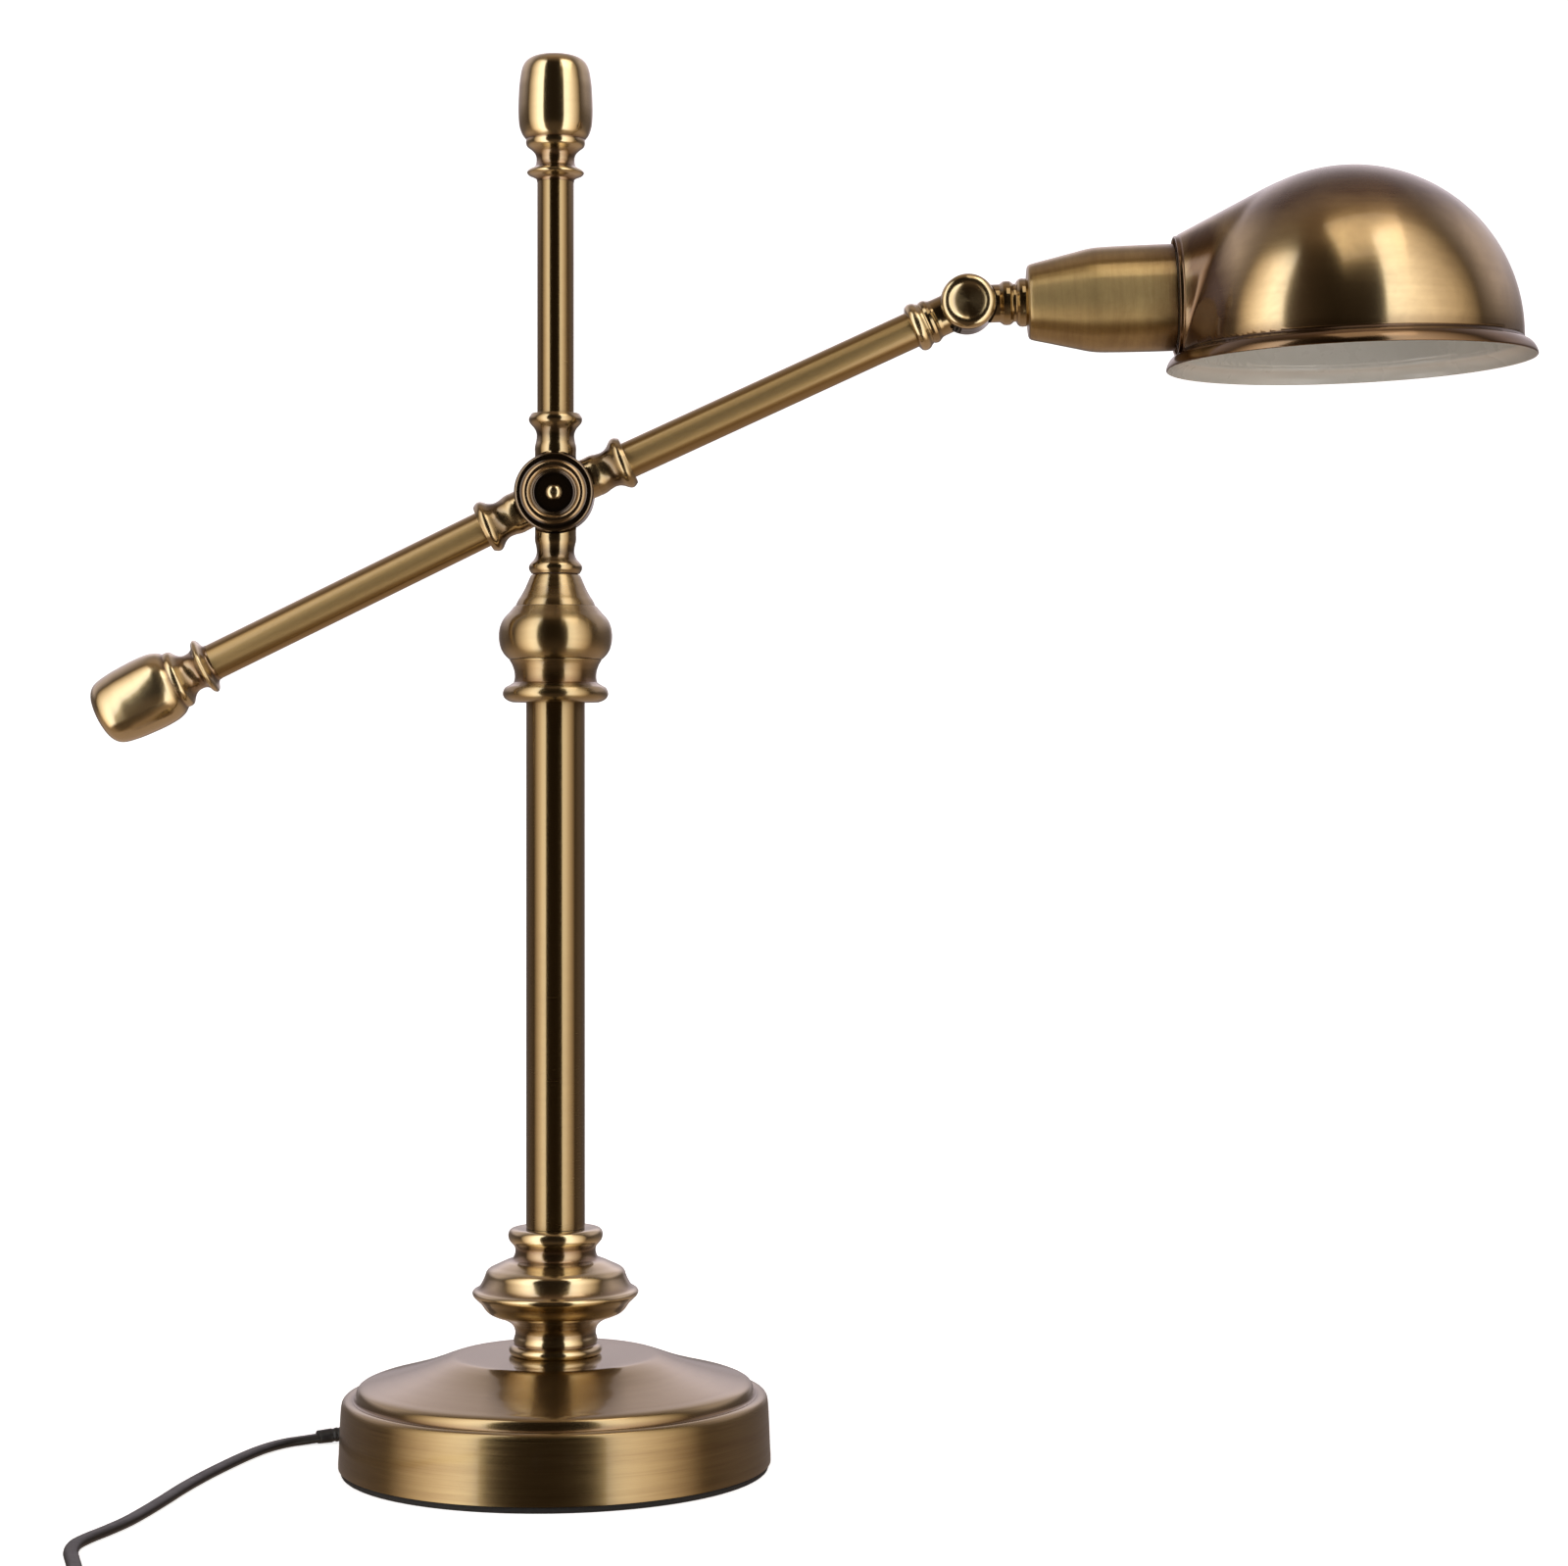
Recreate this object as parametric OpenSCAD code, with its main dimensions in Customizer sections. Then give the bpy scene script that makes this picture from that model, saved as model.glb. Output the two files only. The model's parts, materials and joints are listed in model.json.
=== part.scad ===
// Swing arm desk lamp in antique brass: a weighted round base with a turned
// column, an urn with a swivel, a mast that turns on it, an arm that tilts on
// the mast's cross joint, and a dome shade that tilts on the arm's knuckle.
// Millimetres, +Z up. Origin: centre of the base's underside, on the table.
// The arm and the shade point towards +X, the cross joint's cap towards -Y.

/* [Base] */
// Outside radius of the brass base
base_r = 82.5; // [80:0.5:86]
// Thickness of the pad under the base
pad_t = 2.6; // [2:0.1:3]
// Height of the flat top of the base
base_h = 43.8; // [42:0.2:46]

/* [Column] */
// Height of the turned knop between base and column
knop_h = 48.5; // [48.5:0.5:52]
// Outside radius of the column tube
column_r = 11.25; // [10.8:0.05:11.6]
// Length of the column tube
column_len = 201.4; // [150:0.2:260]

/* [Mast and arm] */
// Outside radius of the mast rod and the arm tubes
rod_r = 7.0; // [6.8:0.05:7.1]
// Wall of the mast rod and the arm tubes
rod_wall = 1.2; // [1:0.1:1.4]
// Length of the mast's top rod
rod_len = 88.8; // [60:0.2:110]
// Slope of the arm's right half above the horizontal
arm_right_deg = 24.7; // [15:0.1:28]
// Slope of the arm's left half below the horizontal
arm_left_deg = 26.2; // [15:0.1:28]
// Length of the arm's left tube
tube_left_len = 115.5; // [90:0.5:130]
// Length of the arm's right tube
tube_right_len = 119.7; // [110:0.1:130]

/* [Head] */
// Slope of the socket cup above the horizontal
head_deg = 1.9; // [-5:0.1:10]
// Outside radius of the shade's dome
dome_r = 65.8; // [65:0.1:66.5]
// Outside radius of the shade's rim
rim_r = 70.7; // [70:0.1:72]
// Wall of the spun shade
shade_wall = 1.0; // [0.8:0.1:1.4]

/* [Cord] */
// Width of the flat twin cord
cord_w = 5.2; // [5:0.1:5.4]
// Thickness of the flat twin cord
cord_t = 3.4; // [3.2:0.1:3.5]

/* [Hidden] */
$fn = 96;
BRASS = [0.52, 0.40, 0.22];
DARK = [0.30, 0.22, 0.13];
BLACK = [0.05, 0.05, 0.055];
STEEL = [0.62, 0.62, 0.64];
IRON = [0.20, 0.20, 0.21];
WHITE = [0.86, 0.85, 0.82];

z_knop = base_h;
z_col = z_knop + knop_h;
z_collar = z_col + column_len;
z_ball = z_collar + 16.5;
z_cone = z_ball + 20.4;
z_seam = z_cone + 12.4;
neck_in = 16.3;          // a neck collar starts this far from the joint centre
neck_out = 30.7;         // and ends here
z_joint = z_seam + neck_out;
drum_r = 14.6;           // cross joint
drum_y = 7.0;
lap_r = 15.9;
lap_gap = 0.25;
t_knuckle = neck_out + tube_right_len + 23.5;
knuckle_x = t_knuckle * cos(arm_right_deg);
knuckle_z = z_joint + t_knuckle * sin(arm_right_deg);
kd_r = 10.6;             // knuckle
kd_y = 8.5;
klap_r = 11.3;

// cord: where it leaves the base, and which way
exit_az = 150;
exit_z = 7.4;

// ---------- helpers ----------

// a turned piece: outline of [radius, height] pairs about Z
module turned(pts) rotate_extrude($fn = 96) polygon(pts);
// a round hole or rod along Z between two heights
module rod(r, z0, z1) translate([0, 0, z0]) cylinder(r = r, h = z1 - z0);
// a disc along Y between two depths
module disc_y(r, y0, y1) translate([0, y1, 0]) rotate([90, 0, 0]) cylinder(r = r, h = y1 - y0);
// Z runs along the right half of the arm, from the joint centre outwards
module right_half() translate([0, 0, z_joint]) rotate([0, 90 - arm_right_deg, 0]) children();
// Z runs along the left half of the arm
module left_half() translate([0, 0, z_joint]) rotate([0, 270 - arm_left_deg, 0]) children();
// X runs along the socket cup from the knuckle, Z up
module head() translate([knuckle_x, 0, knuckle_z]) rotate([0, -head_deg, 0]) children();
// Z of a turned piece runs along the head's X
module along_x() rotate([0, 90, 0]) children();

// ---------- base ----------

module base_pad() color(BLACK) cylinder(r = base_r - 0.9, h = pad_t);

module base_shell() color(BRASS)
  difference() {
    turned([[5.3, base_h - 1.4], [5.3, base_h], [38.7, base_h], [40.5, base_h - 0.3], [43, base_h - 1.2],
            [48, base_h - 3.2], [54, base_h - 5.2], [62, base_h - 7.6], [70, base_h - 9.9],
            [74.6, base_h - 11.2], [75.6, base_h - 12.2], [76.1, base_h - 14.6], [76.8, base_h - 15.1],
            [base_r - 3.3, base_h - 15.2], [base_r - 1.9, base_h - 15.9], [base_r - 1.2, base_h - 17.6],
            [base_r - 0.2, 8], [base_r, 4.4], [base_r, pad_t],
            [base_r - 1.5, pad_t], [base_r - 1.6, 8], [base_r - 2.6, base_h - 18], [base_r - 3.6, base_h - 16.7],
            [74.8, base_h - 16.4], [74.2, base_h - 12.9], [69.6, base_h - 11.4], [61.6, base_h - 9.1],
            [53.6, base_h - 6.7], [47.6, base_h - 4.7], [42.6, base_h - 2.7], [38.4, base_h - 1.4]]);
    rotate([0, 0, exit_az]) translate([base_r - 6, 0, exit_z]) rotate([0, 90, 0]) cylinder(r = 3.9, h = 12);
  }

module base_weight() color(IRON)
  difference() {
    turned([[5.2, 10], [5.2, base_h - 1.4], [20, base_h - 1.4], [22, base_h - 5.8], [44, base_h - 7.2],
            [68, base_h - 14], [73, base_h - 17.2], [78, base_h - 18.8], [79, 8], [79, 3], [24, 3], [24, 10]]);
    // channel for the cord, from the middle to the gland
    rotate([0, 0, exit_az]) translate([20, -5, 2]) cube([62, 10, 10]);
  }

module base_washer() color(STEEL)
  difference() { rod(15, 8.4, 10); rod(5.2, 8, 11); }

module base_nut() color(STEEL)
  difference() {
    translate([0, 0, 3.4]) cylinder(r = 9.8, h = 5, $fn = 6);
    rod(4.95, 3, 9);
  }

module tie_rod() color(STEEL)
  difference() { rod(4.9, 3.2, z_collar + 10); rod(3.5, 3, z_collar + 11); }

// ---------- cord routes: hand-chosen round numbers, [x, y, z] of the cord's middle ----------

// from the tip of the gland to the switch
route_run = [[-97, 48, 1.8], [-103, 45, 1.75], [-109, 41, 1.7], [-114, 34, 1.7], [-118, 25, 1.7],
             [-122, 12, 1.7], [-126, -4, 1.7], [-130, -22, 1.7], [-134, -44, 1.7], [-137, -66, 1.7],
             [-140, -86, 1.7], [-143, -102, 1.7], [-147, -116, 1.7], [-151, -128, 1.7], [-153, -138, 1.7],
             [-152, -149, 1.7], [-149, -160, 1.7], [-145, -174, 1.7], [-142, -190, 1.7], [-139, -208, 1.7],
             [-135, -225, 1.7], [-129, -240, 1.8], [-122, -254, 2.4], [-113, -263, 3.6], [-104, -267, 4.4],
             [-100, -268, 4.5]];
// from the switch to the coil
route_mid = [[-49, -268, 4.5], [-44, -268, 4.4], [-35, -269, 3.2], [-24, -271, 2.0], [-12, -275, 1.7],
             [0, -278, 1.7], [8, -279, 1.7]];
// from the top of the coil to the plug
route_end = [[14, -274, 9], [22, -274, 9.2], [34, -273, 9.2], [46, -271, 8.4], [56, -270, 8], [60, -270, 8]];

coil_x = 15;
coil_y = -245;
coil_r = 29;
coil_h = 10.6;

function sub(a, b) = [for (i = [0:2]) a[i] - b[i]];
function unit(v) = v / norm(v);
// a smooth curve through the route's points: Catmull-Rom, n steps a span
function at(p, i) = p[max(0, min(len(p) - 1, i))];
function cr(a, b, c, d, u) = 0.5 * (2 * b + (c - a) * u + (2 * a - 5 * b + 4 * c - d) * u * u + (3 * b - a - 3 * c + d) * u * u * u);
function smooth(p, n) = [for (i = [0:len(p) - 2]) for (k = [0:n - 1]) cr(at(p, i - 1), at(p, i), at(p, i + 1), at(p, i + 2), k / n), p[len(p) - 1]];
function ahead(p, i) = unit(sub(at(p, i + 1), at(p, i - 1)));
function side(d) = unit([-d[1], d[0], 0]);
function ring(p, i, w, t, m) =
  let (d = ahead(p, i), s = side(d), u = cross(d, s))
  [for (k = [0:m - 1]) p[i] + s * (w / 2 * cos(360 * k / m)) + u * (t / 2 * sin(360 * k / m))];
// a tube of oval section swept along a route; w and t are lists, one number a ring
module swept(p, w, t, m = 8) {
  n = len(p);
  polyhedron(
    points = [for (i = [0:n - 1]) each ring(p, i, w[i], t[i], m)],
    faces = concat(
      [[for (k = [0:m - 1]) k]],
      [for (i = [0:n - 2]) for (k = [0:m - 1])
        [i * m + k, (i + 1) * m + k, (i + 1) * m + (k + 1) % m, i * m + (k + 1) % m]],
      [[for (k = [m - 1:-1:0]) (n - 1) * m + k]]),
    convexity = 6);
}
function same(n, v) = [for (i = [0:n - 1]) v];
module cord_tube(route) {
  p = smooth(route, 1);
  color(BLACK) swept(p, same(len(p), cord_w), same(len(p), cord_t));
}

// the gland's soft tail bends round to meet the cord
relief_route = [[-70, 40.4, 7.4], [-74, 42.7, 7.2], [-79, 45.6, 6.4], [-84, 47.8, 5.0], [-90, 48.9, 3.4], [-97, 48, 2.75]];
module cord_relief() color(BLACK)
  union() {
    rotate([0, 0, exit_az]) translate([base_r - 5, 0, exit_z]) rotate([0, 90, 0]) cylinder(r = 3.8, h = 6);
    rotate([0, 0, exit_az]) translate([base_r + 0.3, 0, exit_z]) rotate([0, 90, 0]) cylinder(r1 = 5, r2 = 4.4, h = 2);
    swept(smooth(relief_route, 2),
          [7.2, 7.2, 7.2, 7.1, 7, 6.8, 6.6, 6.4, 6.1, 5.8, 5.6],
          [7.2, 7.2, 7.2, 7.1, 7, 6.8, 6.6, 6.2, 5.9, 5.6, 5.4], 12);
  }

// ---------- knop, column and urn ----------

module knop() color(BRASS)
  translate([0, 0, z_knop])
  turned([[5.2, 0], [16.8, 0], [17.6, 0.9], [17.9, 1.9], [17.5, 3.1], [16.6, 3.9], [15.9, 4.2], [16.0, 5.2],
          [15.9, 6.4], [15.5, 7.6], [15.4, 8.6], [15.6, 9.9], [16.1, 11.1], [17.1, 12.3], [18.7, 13.4],
          [20.8, 14.4], [23.6, 15.4], [25.6, 16.4], [26.9, 17.7], [27.7, 18.9], [28.6, 20.1], [30.2, 21.6],
          [31.4, 22.9], [31.8, 24.0], [31.3, 24.8], [29.9, 25.5], [28.9, 26.5], [28.1, 27.8], [27.5, 29.0],
          [26.9, 30.4], [26.5, 31.7], [25.6, 32.8], [22.6, 34.3], [19.4, 35.8], [16.6, 36.9], [15.8, 38.0],
          [15.4, 39.4], [15.4, 40.6], [15.7, 41.6], [16.6, 42.7], [17.6, 43.9], [18.0, 45.2], [18.0, 46.6],
          [17.4, 47.8], [16.2, 48.4], [5.2, 48.4]]);

module column_tube() color(BRASS)
  difference() { rod(column_r, z_col, z_collar); rod(column_r - 1.3, z_col - 1, z_collar + 1); }

module urn_collar() color(BRASS)
  translate([0, 0, z_collar])
  turned([[4.95, 0], [16.6, 0], [18.2, 0.6], [19.6, 1.7], [20.2, 3.2], [19.9, 4.6], [19.2, 5.7], [17.6, 6.6],
          [16.0, 7.6], [15.7, 8.8], [15.6, 10.0], [15.7, 11.2], [15.9, 12.4], [16.3, 13.6], [16.8, 14.8],
          [17.5, 16.0], [17.8, 16.5], [7.0, 16.5], [7.0, 18.9], [4.95, 18.9]]);

module urn_ball() color(BRASS)
  translate([0, 0, z_ball])
  turned([[7.1, 0], [17.9, 0], [18.8, 0.9], [19.9, 2.2], [20.8, 3.8], [21.4, 5.8], [21.7, 8.2], [21.6, 10.6],
          [21.2, 12.6], [20.4, 14.6], [19.3, 16.2], [17.9, 17.7], [16.6, 19.2], [15.7, 20.4],
          [12.1, 20.4], [12.1, 3], [7.1, 3]]);

module urn_cone() color(BRASS)
  translate([0, 0, z_cone])
  turned([[4.56, -1.2], [12, -1.2], [12, 0], [15.3, 0], [14.8, 1.2], [14.2, 2.4], [13.4, 3.6], [12.7, 4.8],
          [12.1, 5.9], [11.5, 7.1], [11.0, 8.3], [10.5, 9.4], [10.0, 10.6], [9.5, 11.6], [9.2, 12.0], [4.56, 12.0]]);

module swivel_washer() color(DARK)
  difference() { rod(8.6, z_cone + 12.0, z_cone + 12.3); rod(4.8, z_cone + 11, z_cone + 13); }

// a pin under the cone that stops the swivel short of a full turn
module swivel_stop() color(STEEL)
  translate([10.3, 0, 0]) rod(1.0, z_cone - 6.2, z_cone - 1.2);

// ---------- mast ----------

// outline of a neck collar: waist and bead, distance measured from the joint centre
NECK = [[7.95, 16.3], [7.95, 17.4], [7.8, 18.6], [7.5, 19.8], [7.3, 21.0], [7.2, 22.2], [7.35, 23.3],
        [7.75, 24.4], [8.4, 25.4], [9.2, 26.3], [9.9, 27.2], [10.25, 28.2], [10.05, 29.3], [9.5, 30.2], [9.2, 30.7]];
module neck_collar(bore) color(BRASS)
  turned(concat([[bore, 16.3]], NECK, [[bore, 30.7]]));

// outline of a finial: flange, neck, bead and body, from the end of its tube
FINIAL = [[7.1, 0], [7.3, 1.0], [8.6, 1.9], [10.4, 2.7], [11.0, 3.5], [10.4, 4.4], [8.8, 5.2], [7.9, 6.0],
          [7.4, 7.2], [7.3, 8.4], [7.4, 9.6], [7.9, 10.8], [8.7, 11.8], [9.9, 12.8], [10.9, 13.6], [11.3, 14.6],
          [11.3, 15.6], [11.2, 16.2], [11.9, 17.0], [12.7, 18.1], [13.3, 19.5], [13.8, 21.2], [14.1, 23.6],
          [14.25, 27.0], [14.2, 30.4], [14.05, 33.8], [13.85, 37.0], [13.5, 39.8], [13.1, 42.2], [12.6, 44.0],
          [11.9, 45.4], [10.8, 46.6], [9.2, 47.6], [7.0, 48.3], [4.0, 48.8], [0, 49.0]];
module finial() color(BRASS)
  turned(concat([[0, -9], [5.7, -9], [5.7, 0]], FINIAL));

module swivel_pin() color(STEEL)
  difference() { rod(4.5, z_cone - 9, z_joint - 16.8); rod(2.8, z_cone - 10, z_joint - 16); }

module swivel_nut() color(STEEL)
  difference() {
    union() {
      translate([0, 0, z_cone - 7.6]) cylinder(r = 8.4, h = 6, $fn = 6);
      translate([-11.2, -1.5, z_cone - 5.6]) cube([6, 3, 4]);
    }
    rod(4.55, z_cone - 9, z_cone);
  }

module neck_collar_lower() translate([0, 0, z_joint]) rotate([180, 0, 0]) neck_collar(6.25);
module neck_collar_upper() translate([0, 0, z_joint]) neck_collar(5.4);

module mast_hub() color(BRASS)
  translate([0, 0, z_joint])
  difference() {
    union() {
      difference() {
        union() {
          disc_y(drum_r, lap_gap, drum_y);
          rod(7.9, -neck_in, neck_in);
        }
        disc_y(lap_r, -9, lap_gap);
        // the drum's back is flat between the necks
        disc_y(lap_r, drum_y, 9);
      }
      rod(5.3, neck_in - 0.8, 40);
      rod(6.2, -29.8, 0.6 - neck_in);
    }
    disc_y(3.0, -1, 9);
    // the swivel pin screws in from below
    rod(4.55, -31, -16.6);
  }

module top_rod() color(BRASS)
  translate([0, 0, z_joint]) difference() { rod(rod_r, neck_out, neck_out + rod_len); rod(rod_r - rod_wall, neck_out - 1, neck_out + rod_len + 1); }

module top_finial() translate([0, 0, z_joint + neck_out + rod_len]) finial();

module joint_bolt() color(BRASS)
  translate([0, 0, z_joint]) union() {
    disc_y(2.95, -8.1, 9.4);
    translate([0, -7.85, 0]) rotate([90, 0, 0]) turned([[0, 0], [2.9, 0], [2.8, 0.7], [2.3, 1.4], [1.4, 1.9], [0, 2.1]]);
  }

module joint_cap() color(BRASS)
  translate([0, -drum_y - 0.15, z_joint]) rotate([90, 0, 0])
  turned([[3.0, 0], [14.7, 0], [15.2, 0.4], [15.2, 1.0], [14.8, 1.6], [14.0, 1.9], [13.0, 1.9], [12.3, 2.1],
          [11.7, 2.6], [10.9, 2.9], [10.0, 2.8], [9.3, 2.3], [8.7, 1.6], [8.2, 1.5], [7.9, 0.9], [7.4, 0.7], [3.0, 0.7]]);

module joint_washer() color(DARK)
  translate([0, 0, z_joint]) difference() { disc_y(13.6, -0.12, lap_gap); disc_y(3.1, -1, 1); }

module joint_nut() color(BRASS)
  translate([0, drum_y, z_joint]) rotate([-90, 0, 0])
  difference() {
    turned([[0, 0], [7, 0], [7.2, 0.4], [7.2, 1.2], [6.2, 1.6], [6.0, 3.2], [5.4, 4.4], [4.2, 5.4], [2.4, 6.0], [0, 6.2]]);
    translate([0, 0, -0.1]) cylinder(r = 3.0, h = 3.1);
  }

// ---------- arm ----------

module arm_hub() color(BRASS)
  difference() {
    union() {
      difference() {
        union() {
          translate([0, 0, z_joint]) disc_y(drum_r, -drum_y, -lap_gap);
          right_half() rod(7.9, 8, neck_in);
          left_half() rod(7.9, 8, neck_in);
        }
        translate([0, 0, z_joint]) disc_y(lap_r, -lap_gap, 9);
        // the drum's face is flat between the necks
        translate([0, 0, z_joint]) disc_y(lap_r, -9, -drum_y);
      }
      right_half() rod(5.3, neck_in - 0.8, 40);
      left_half() rod(5.3, neck_in - 0.8, 40);
    }
    translate([0, 0, z_joint]) disc_y(3.02, -9, 1);
  }

module neck_collar_left() left_half() neck_collar(5.4);
module neck_collar_right() right_half() neck_collar(5.4);

module arm_tube_left() color(BRASS) left_half()
  difference() { rod(rod_r, neck_out, neck_out + tube_left_len); rod(rod_r - rod_wall, neck_out - 1, neck_out + tube_left_len + 1); }
module arm_tube_right() color(BRASS) right_half()
  difference() { rod(rod_r, neck_out, neck_out + tube_right_len); rod(rod_r - rod_wall, neck_out - 1, neck_out + tube_right_len + 1); }

module arm_finial() left_half() translate([0, 0, neck_out + tube_left_len]) finial();

t_end = neck_out + tube_right_len;

module arm_end_collar() color(BRASS) right_half() translate([0, 0, t_end])
  turned([[5.4, 0], [7.4, 0], [8.8, 0.7], [9.4, 1.8], [9.5, 2.8], [9.2, 4.0], [8.5, 5.0], [8.1, 5.8], [5.4, 5.8]]);

module knuckle_arm() color(BRASS)
  difference() {
    union() {
      difference() {
        union() {
          translate([knuckle_x, 0, knuckle_z]) disc_y(kd_r, -kd_y, -lap_gap);
          right_half() translate([0, 0, t_end])
            turned([[0, 5.8], [8.0, 5.8], [8.4, 6.4], [8.6, 7.4], [8.4, 8.4], [7.9, 9.2], [7.5, 10.0], [7.4, 11.2], [7.4, 23.5], [0, 23.5]]);
        }
        translate([knuckle_x, 0, knuckle_z]) disc_y(klap_r, -lap_gap, 10);
      }
      right_half() rod(5.3, t_end - 9, t_end + 6.5);
    }
    translate([knuckle_x, 0, knuckle_z]) disc_y(2.52, -10, 1);
    // the set screw's hole and its spot face
    translate([knuckle_x, -4.6, knuckle_z]) rotate([0, -158, 0]) { rod(1.05, 7.2, 13); rod(1.8, 10.2, 14); }
  }

module knuckle_bolt() color(BRASS) translate([knuckle_x, 0, knuckle_z]) disc_y(2.45, -9.6, 10.2);

module knuckle_cap() color(BRASS)
  translate([knuckle_x, -kd_y - 0.1, knuckle_z]) rotate([90, 0, 0])
  difference() {
    turned([[0, 0], [10.3, 0], [10.5, 0.5], [10.4, 1.4], [9.9, 2.3], [9.0, 3.0], [8.0, 3.3], [7.2, 3.2], [6.2, 2.8], [5.0, 2.5], [3, 2.3], [0, 2.2]]);
    translate([0, 0, -0.1]) cylinder(r = 2.5, h = 1.3);
  }

module knuckle_washer() color(DARK)
  translate([knuckle_x, 0, knuckle_z]) difference() { disc_y(9.8, -lap_gap, 0.12); disc_y(2.6, -1, 1); }

module knuckle_nut() color(BRASS)
  translate([knuckle_x, kd_y + 0.1, knuckle_z]) rotate([-90, 0, 0])
  difference() {
    turned([[0, 0], [6.6, 0], [6.8, 0.4], [6.8, 1.1], [5.8, 1.5], [5.5, 3.0], [4.6, 4.2], [3.0, 5.0], [0, 5.4]]);
    translate([0, 0, -0.1]) cylinder(r = 2.5, h = 2.2);
  }

// small set screw under the arm's half of the knuckle
module knuckle_screw() color(DARK)
  translate([knuckle_x, -4.6, knuckle_z]) rotate([0, -158, 0]) union() { rod(1.0, 7.4, 10.6); rod(1.7, 10.3, 12.1); }

// ---------- head ----------

module knuckle_head() color(BRASS)
  head() difference() {
    union() {
      difference() {
        union() {
          disc_y(kd_r, lap_gap, kd_y);
          along_x() turned([[0, 0], [7.3, 0], [7.3, 12.2], [7.7, 12.8], [8.3, 13.6], [8.5, 14.8], [8.4, 16.2], [7.8, 17.1],
                            [7.3, 17.6], [7.3, 18.4], [8.3, 18.9], [9.1, 19.8], [9.3, 20.9], [9.2, 22.1], [8.7, 23.1], [0, 23.1]]);
        }
        disc_y(klap_r, -10, lap_gap);
      }
      along_x() rod(4.9, 22, 30);
    }
    disc_y(2.52, -1, 10);
  }

module socket_cup() color(BRASS)
  head() along_x()
  turned([[5.0, 23.1], [13.3, 23.1], [14.0, 23.5], [14.4, 24.2], [17.3, 36.4], [19.6, 46.4], [20.0, 49.4], [20.2, 56], [20.35, 66],
          [20.4, 79.0], [19.4, 79.0], [19.3, 66], [19.2, 56], [19.0, 49.8], [18.6, 47], [16.3, 37], [13.5, 25], [13.2, 24.2], [5.0, 24.2]]);

module lampholder() color(WHITE)
  head() along_x()
  turned([[0, 31], [11, 31], [12.5, 33], [15.4, 38], [17.4, 46], [17.6, 52], [17.6, 84.6], [14.1, 84.6], [14.1, 49], [0, 49]]);

module thread_shell() color(BRASS)
  head() along_x() difference() { rod(14.0, 50, 83.5); rod(13.2, 49, 85); }

module centre_contact() color(BRASS)
  head() along_x() rod(4.0, 49, 49.9);

// the dome's centre and the rim, in the head's own directions
dome_x = 146.3;
dome_z = -17.9;
rim_z = -27.7;

module dome(r, flare) 
  rotate_extrude($fn = 128) polygon(concat(
    [[0, rim_z]], flare,
    [for (a = [0:6:84]) [r * cos(a), dome_z + r * sin(a)]], [[0, dome_z + r]]));

module spout(r0, x0, k, x1) along_x() translate([0, 0, x0]) cylinder(r1 = r0, r2 = r0 + k * (x1 - x0), h = x1 - x0);

module shade() color(BRASS)
  head() intersection() {
    difference() {
      union() {
        translate([dome_x, 0, 0]) dome(dome_r, [[rim_r, rim_z], [rim_r, rim_z + 0.9], [rim_r - 1, rim_z + 3], [rim_r - 2.6, rim_z + 4.9], [rim_r - 4.6, rim_z + 5.9], [dome_r, rim_z + 6.6]]);
        spout(24.0, 81.4, 0.49, 116);
        along_x() rod(23.2, 79.4, 83.9);
      }
      translate([dome_x, 0, 0]) dome(dome_r - shade_wall, [[rim_r - 1, rim_z - 1], [rim_r - 1, rim_z + 0.7], [rim_r - 1.9, rim_z + 2.6], [rim_r - 3.4, rim_z + 4.2], [rim_r - 5.0, rim_z + 5.0], [dome_r - shade_wall, rim_z + 5.6]]);
      intersection() {
        spout(22.9, 82.4, 0.49, 118);
        translate([82.4, -100, rim_z - 1]) cube([200, 200, 200]);
      }
      along_x() rod(17.8, 78, 84);
    }
    translate([0, -100, rim_z]) cube([300, 200, 120]);
  }

// threaded ring that clamps the shade on the lampholder, inside the shade
module shade_ring() color(WHITE)
  head() along_x() difference() { rod(21.4, 82.6, 86.6); rod(17.7, 82, 88); }

// ---------- cord and what is on it ----------

module cord_run() cord_tube(route_run);
module cord_mid() cord_tube(route_mid);
module cord_end() cord_tube(route_end);

module cord_coil() color(BLACK)
  translate([coil_x, coil_y, 0])
  turned([[coil_r - 8, 0], [coil_r + 8, 0], [coil_r + 8, 3.6], [coil_r + 5.4, 7.2], [coil_r + 2.6, coil_h], [coil_r - 2.6, coil_h], [coil_r - 8, 7.2]]);

module coil_tie() color(BLACK)
  translate([coil_x + coil_r - 9, coil_y - 2.5, 0]) difference() {
    cube([18, 5, coil_h + 0.8]);
    translate([0.9, -1, 0.7]) cube([16.2, 7, coil_h - 0.7]);
  }

sw_x = -75;
sw_y = -268;
sw_l = 54;
sw_w = 21;
sw_h = 14.6;
sw_pz = 10.6;            // height of the rocker's pivot

// outline of the switch's case seen from above: straight sides, rounded ends
module case_outline(grow) {
  translate([-sw_l / 2 + 10.5, 0]) circle(r = sw_w / 2 + grow);
  translate([sw_l / 2 - 10.5, 0]) circle(r = sw_w / 2 + grow);
  translate([-sw_l / 2 + 10.5, -sw_w / 2 - grow]) square([sw_l - 21, sw_w + 2 * grow]);
}

module switch_base() color(BLACK)
  translate([sw_x, sw_y, 0]) difference() {
    linear_extrude(7) case_outline(0);
    translate([0, 0, 1.6]) linear_extrude(6) case_outline(-1.6);
    // where the cord comes in at each end
    translate([-sw_l / 2 - 1, -3, 2.5]) cube([4, 6, 5]);
    translate([sw_l / 2 - 3, -3, 2.5]) cube([4, 6, 5]);
  }

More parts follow.
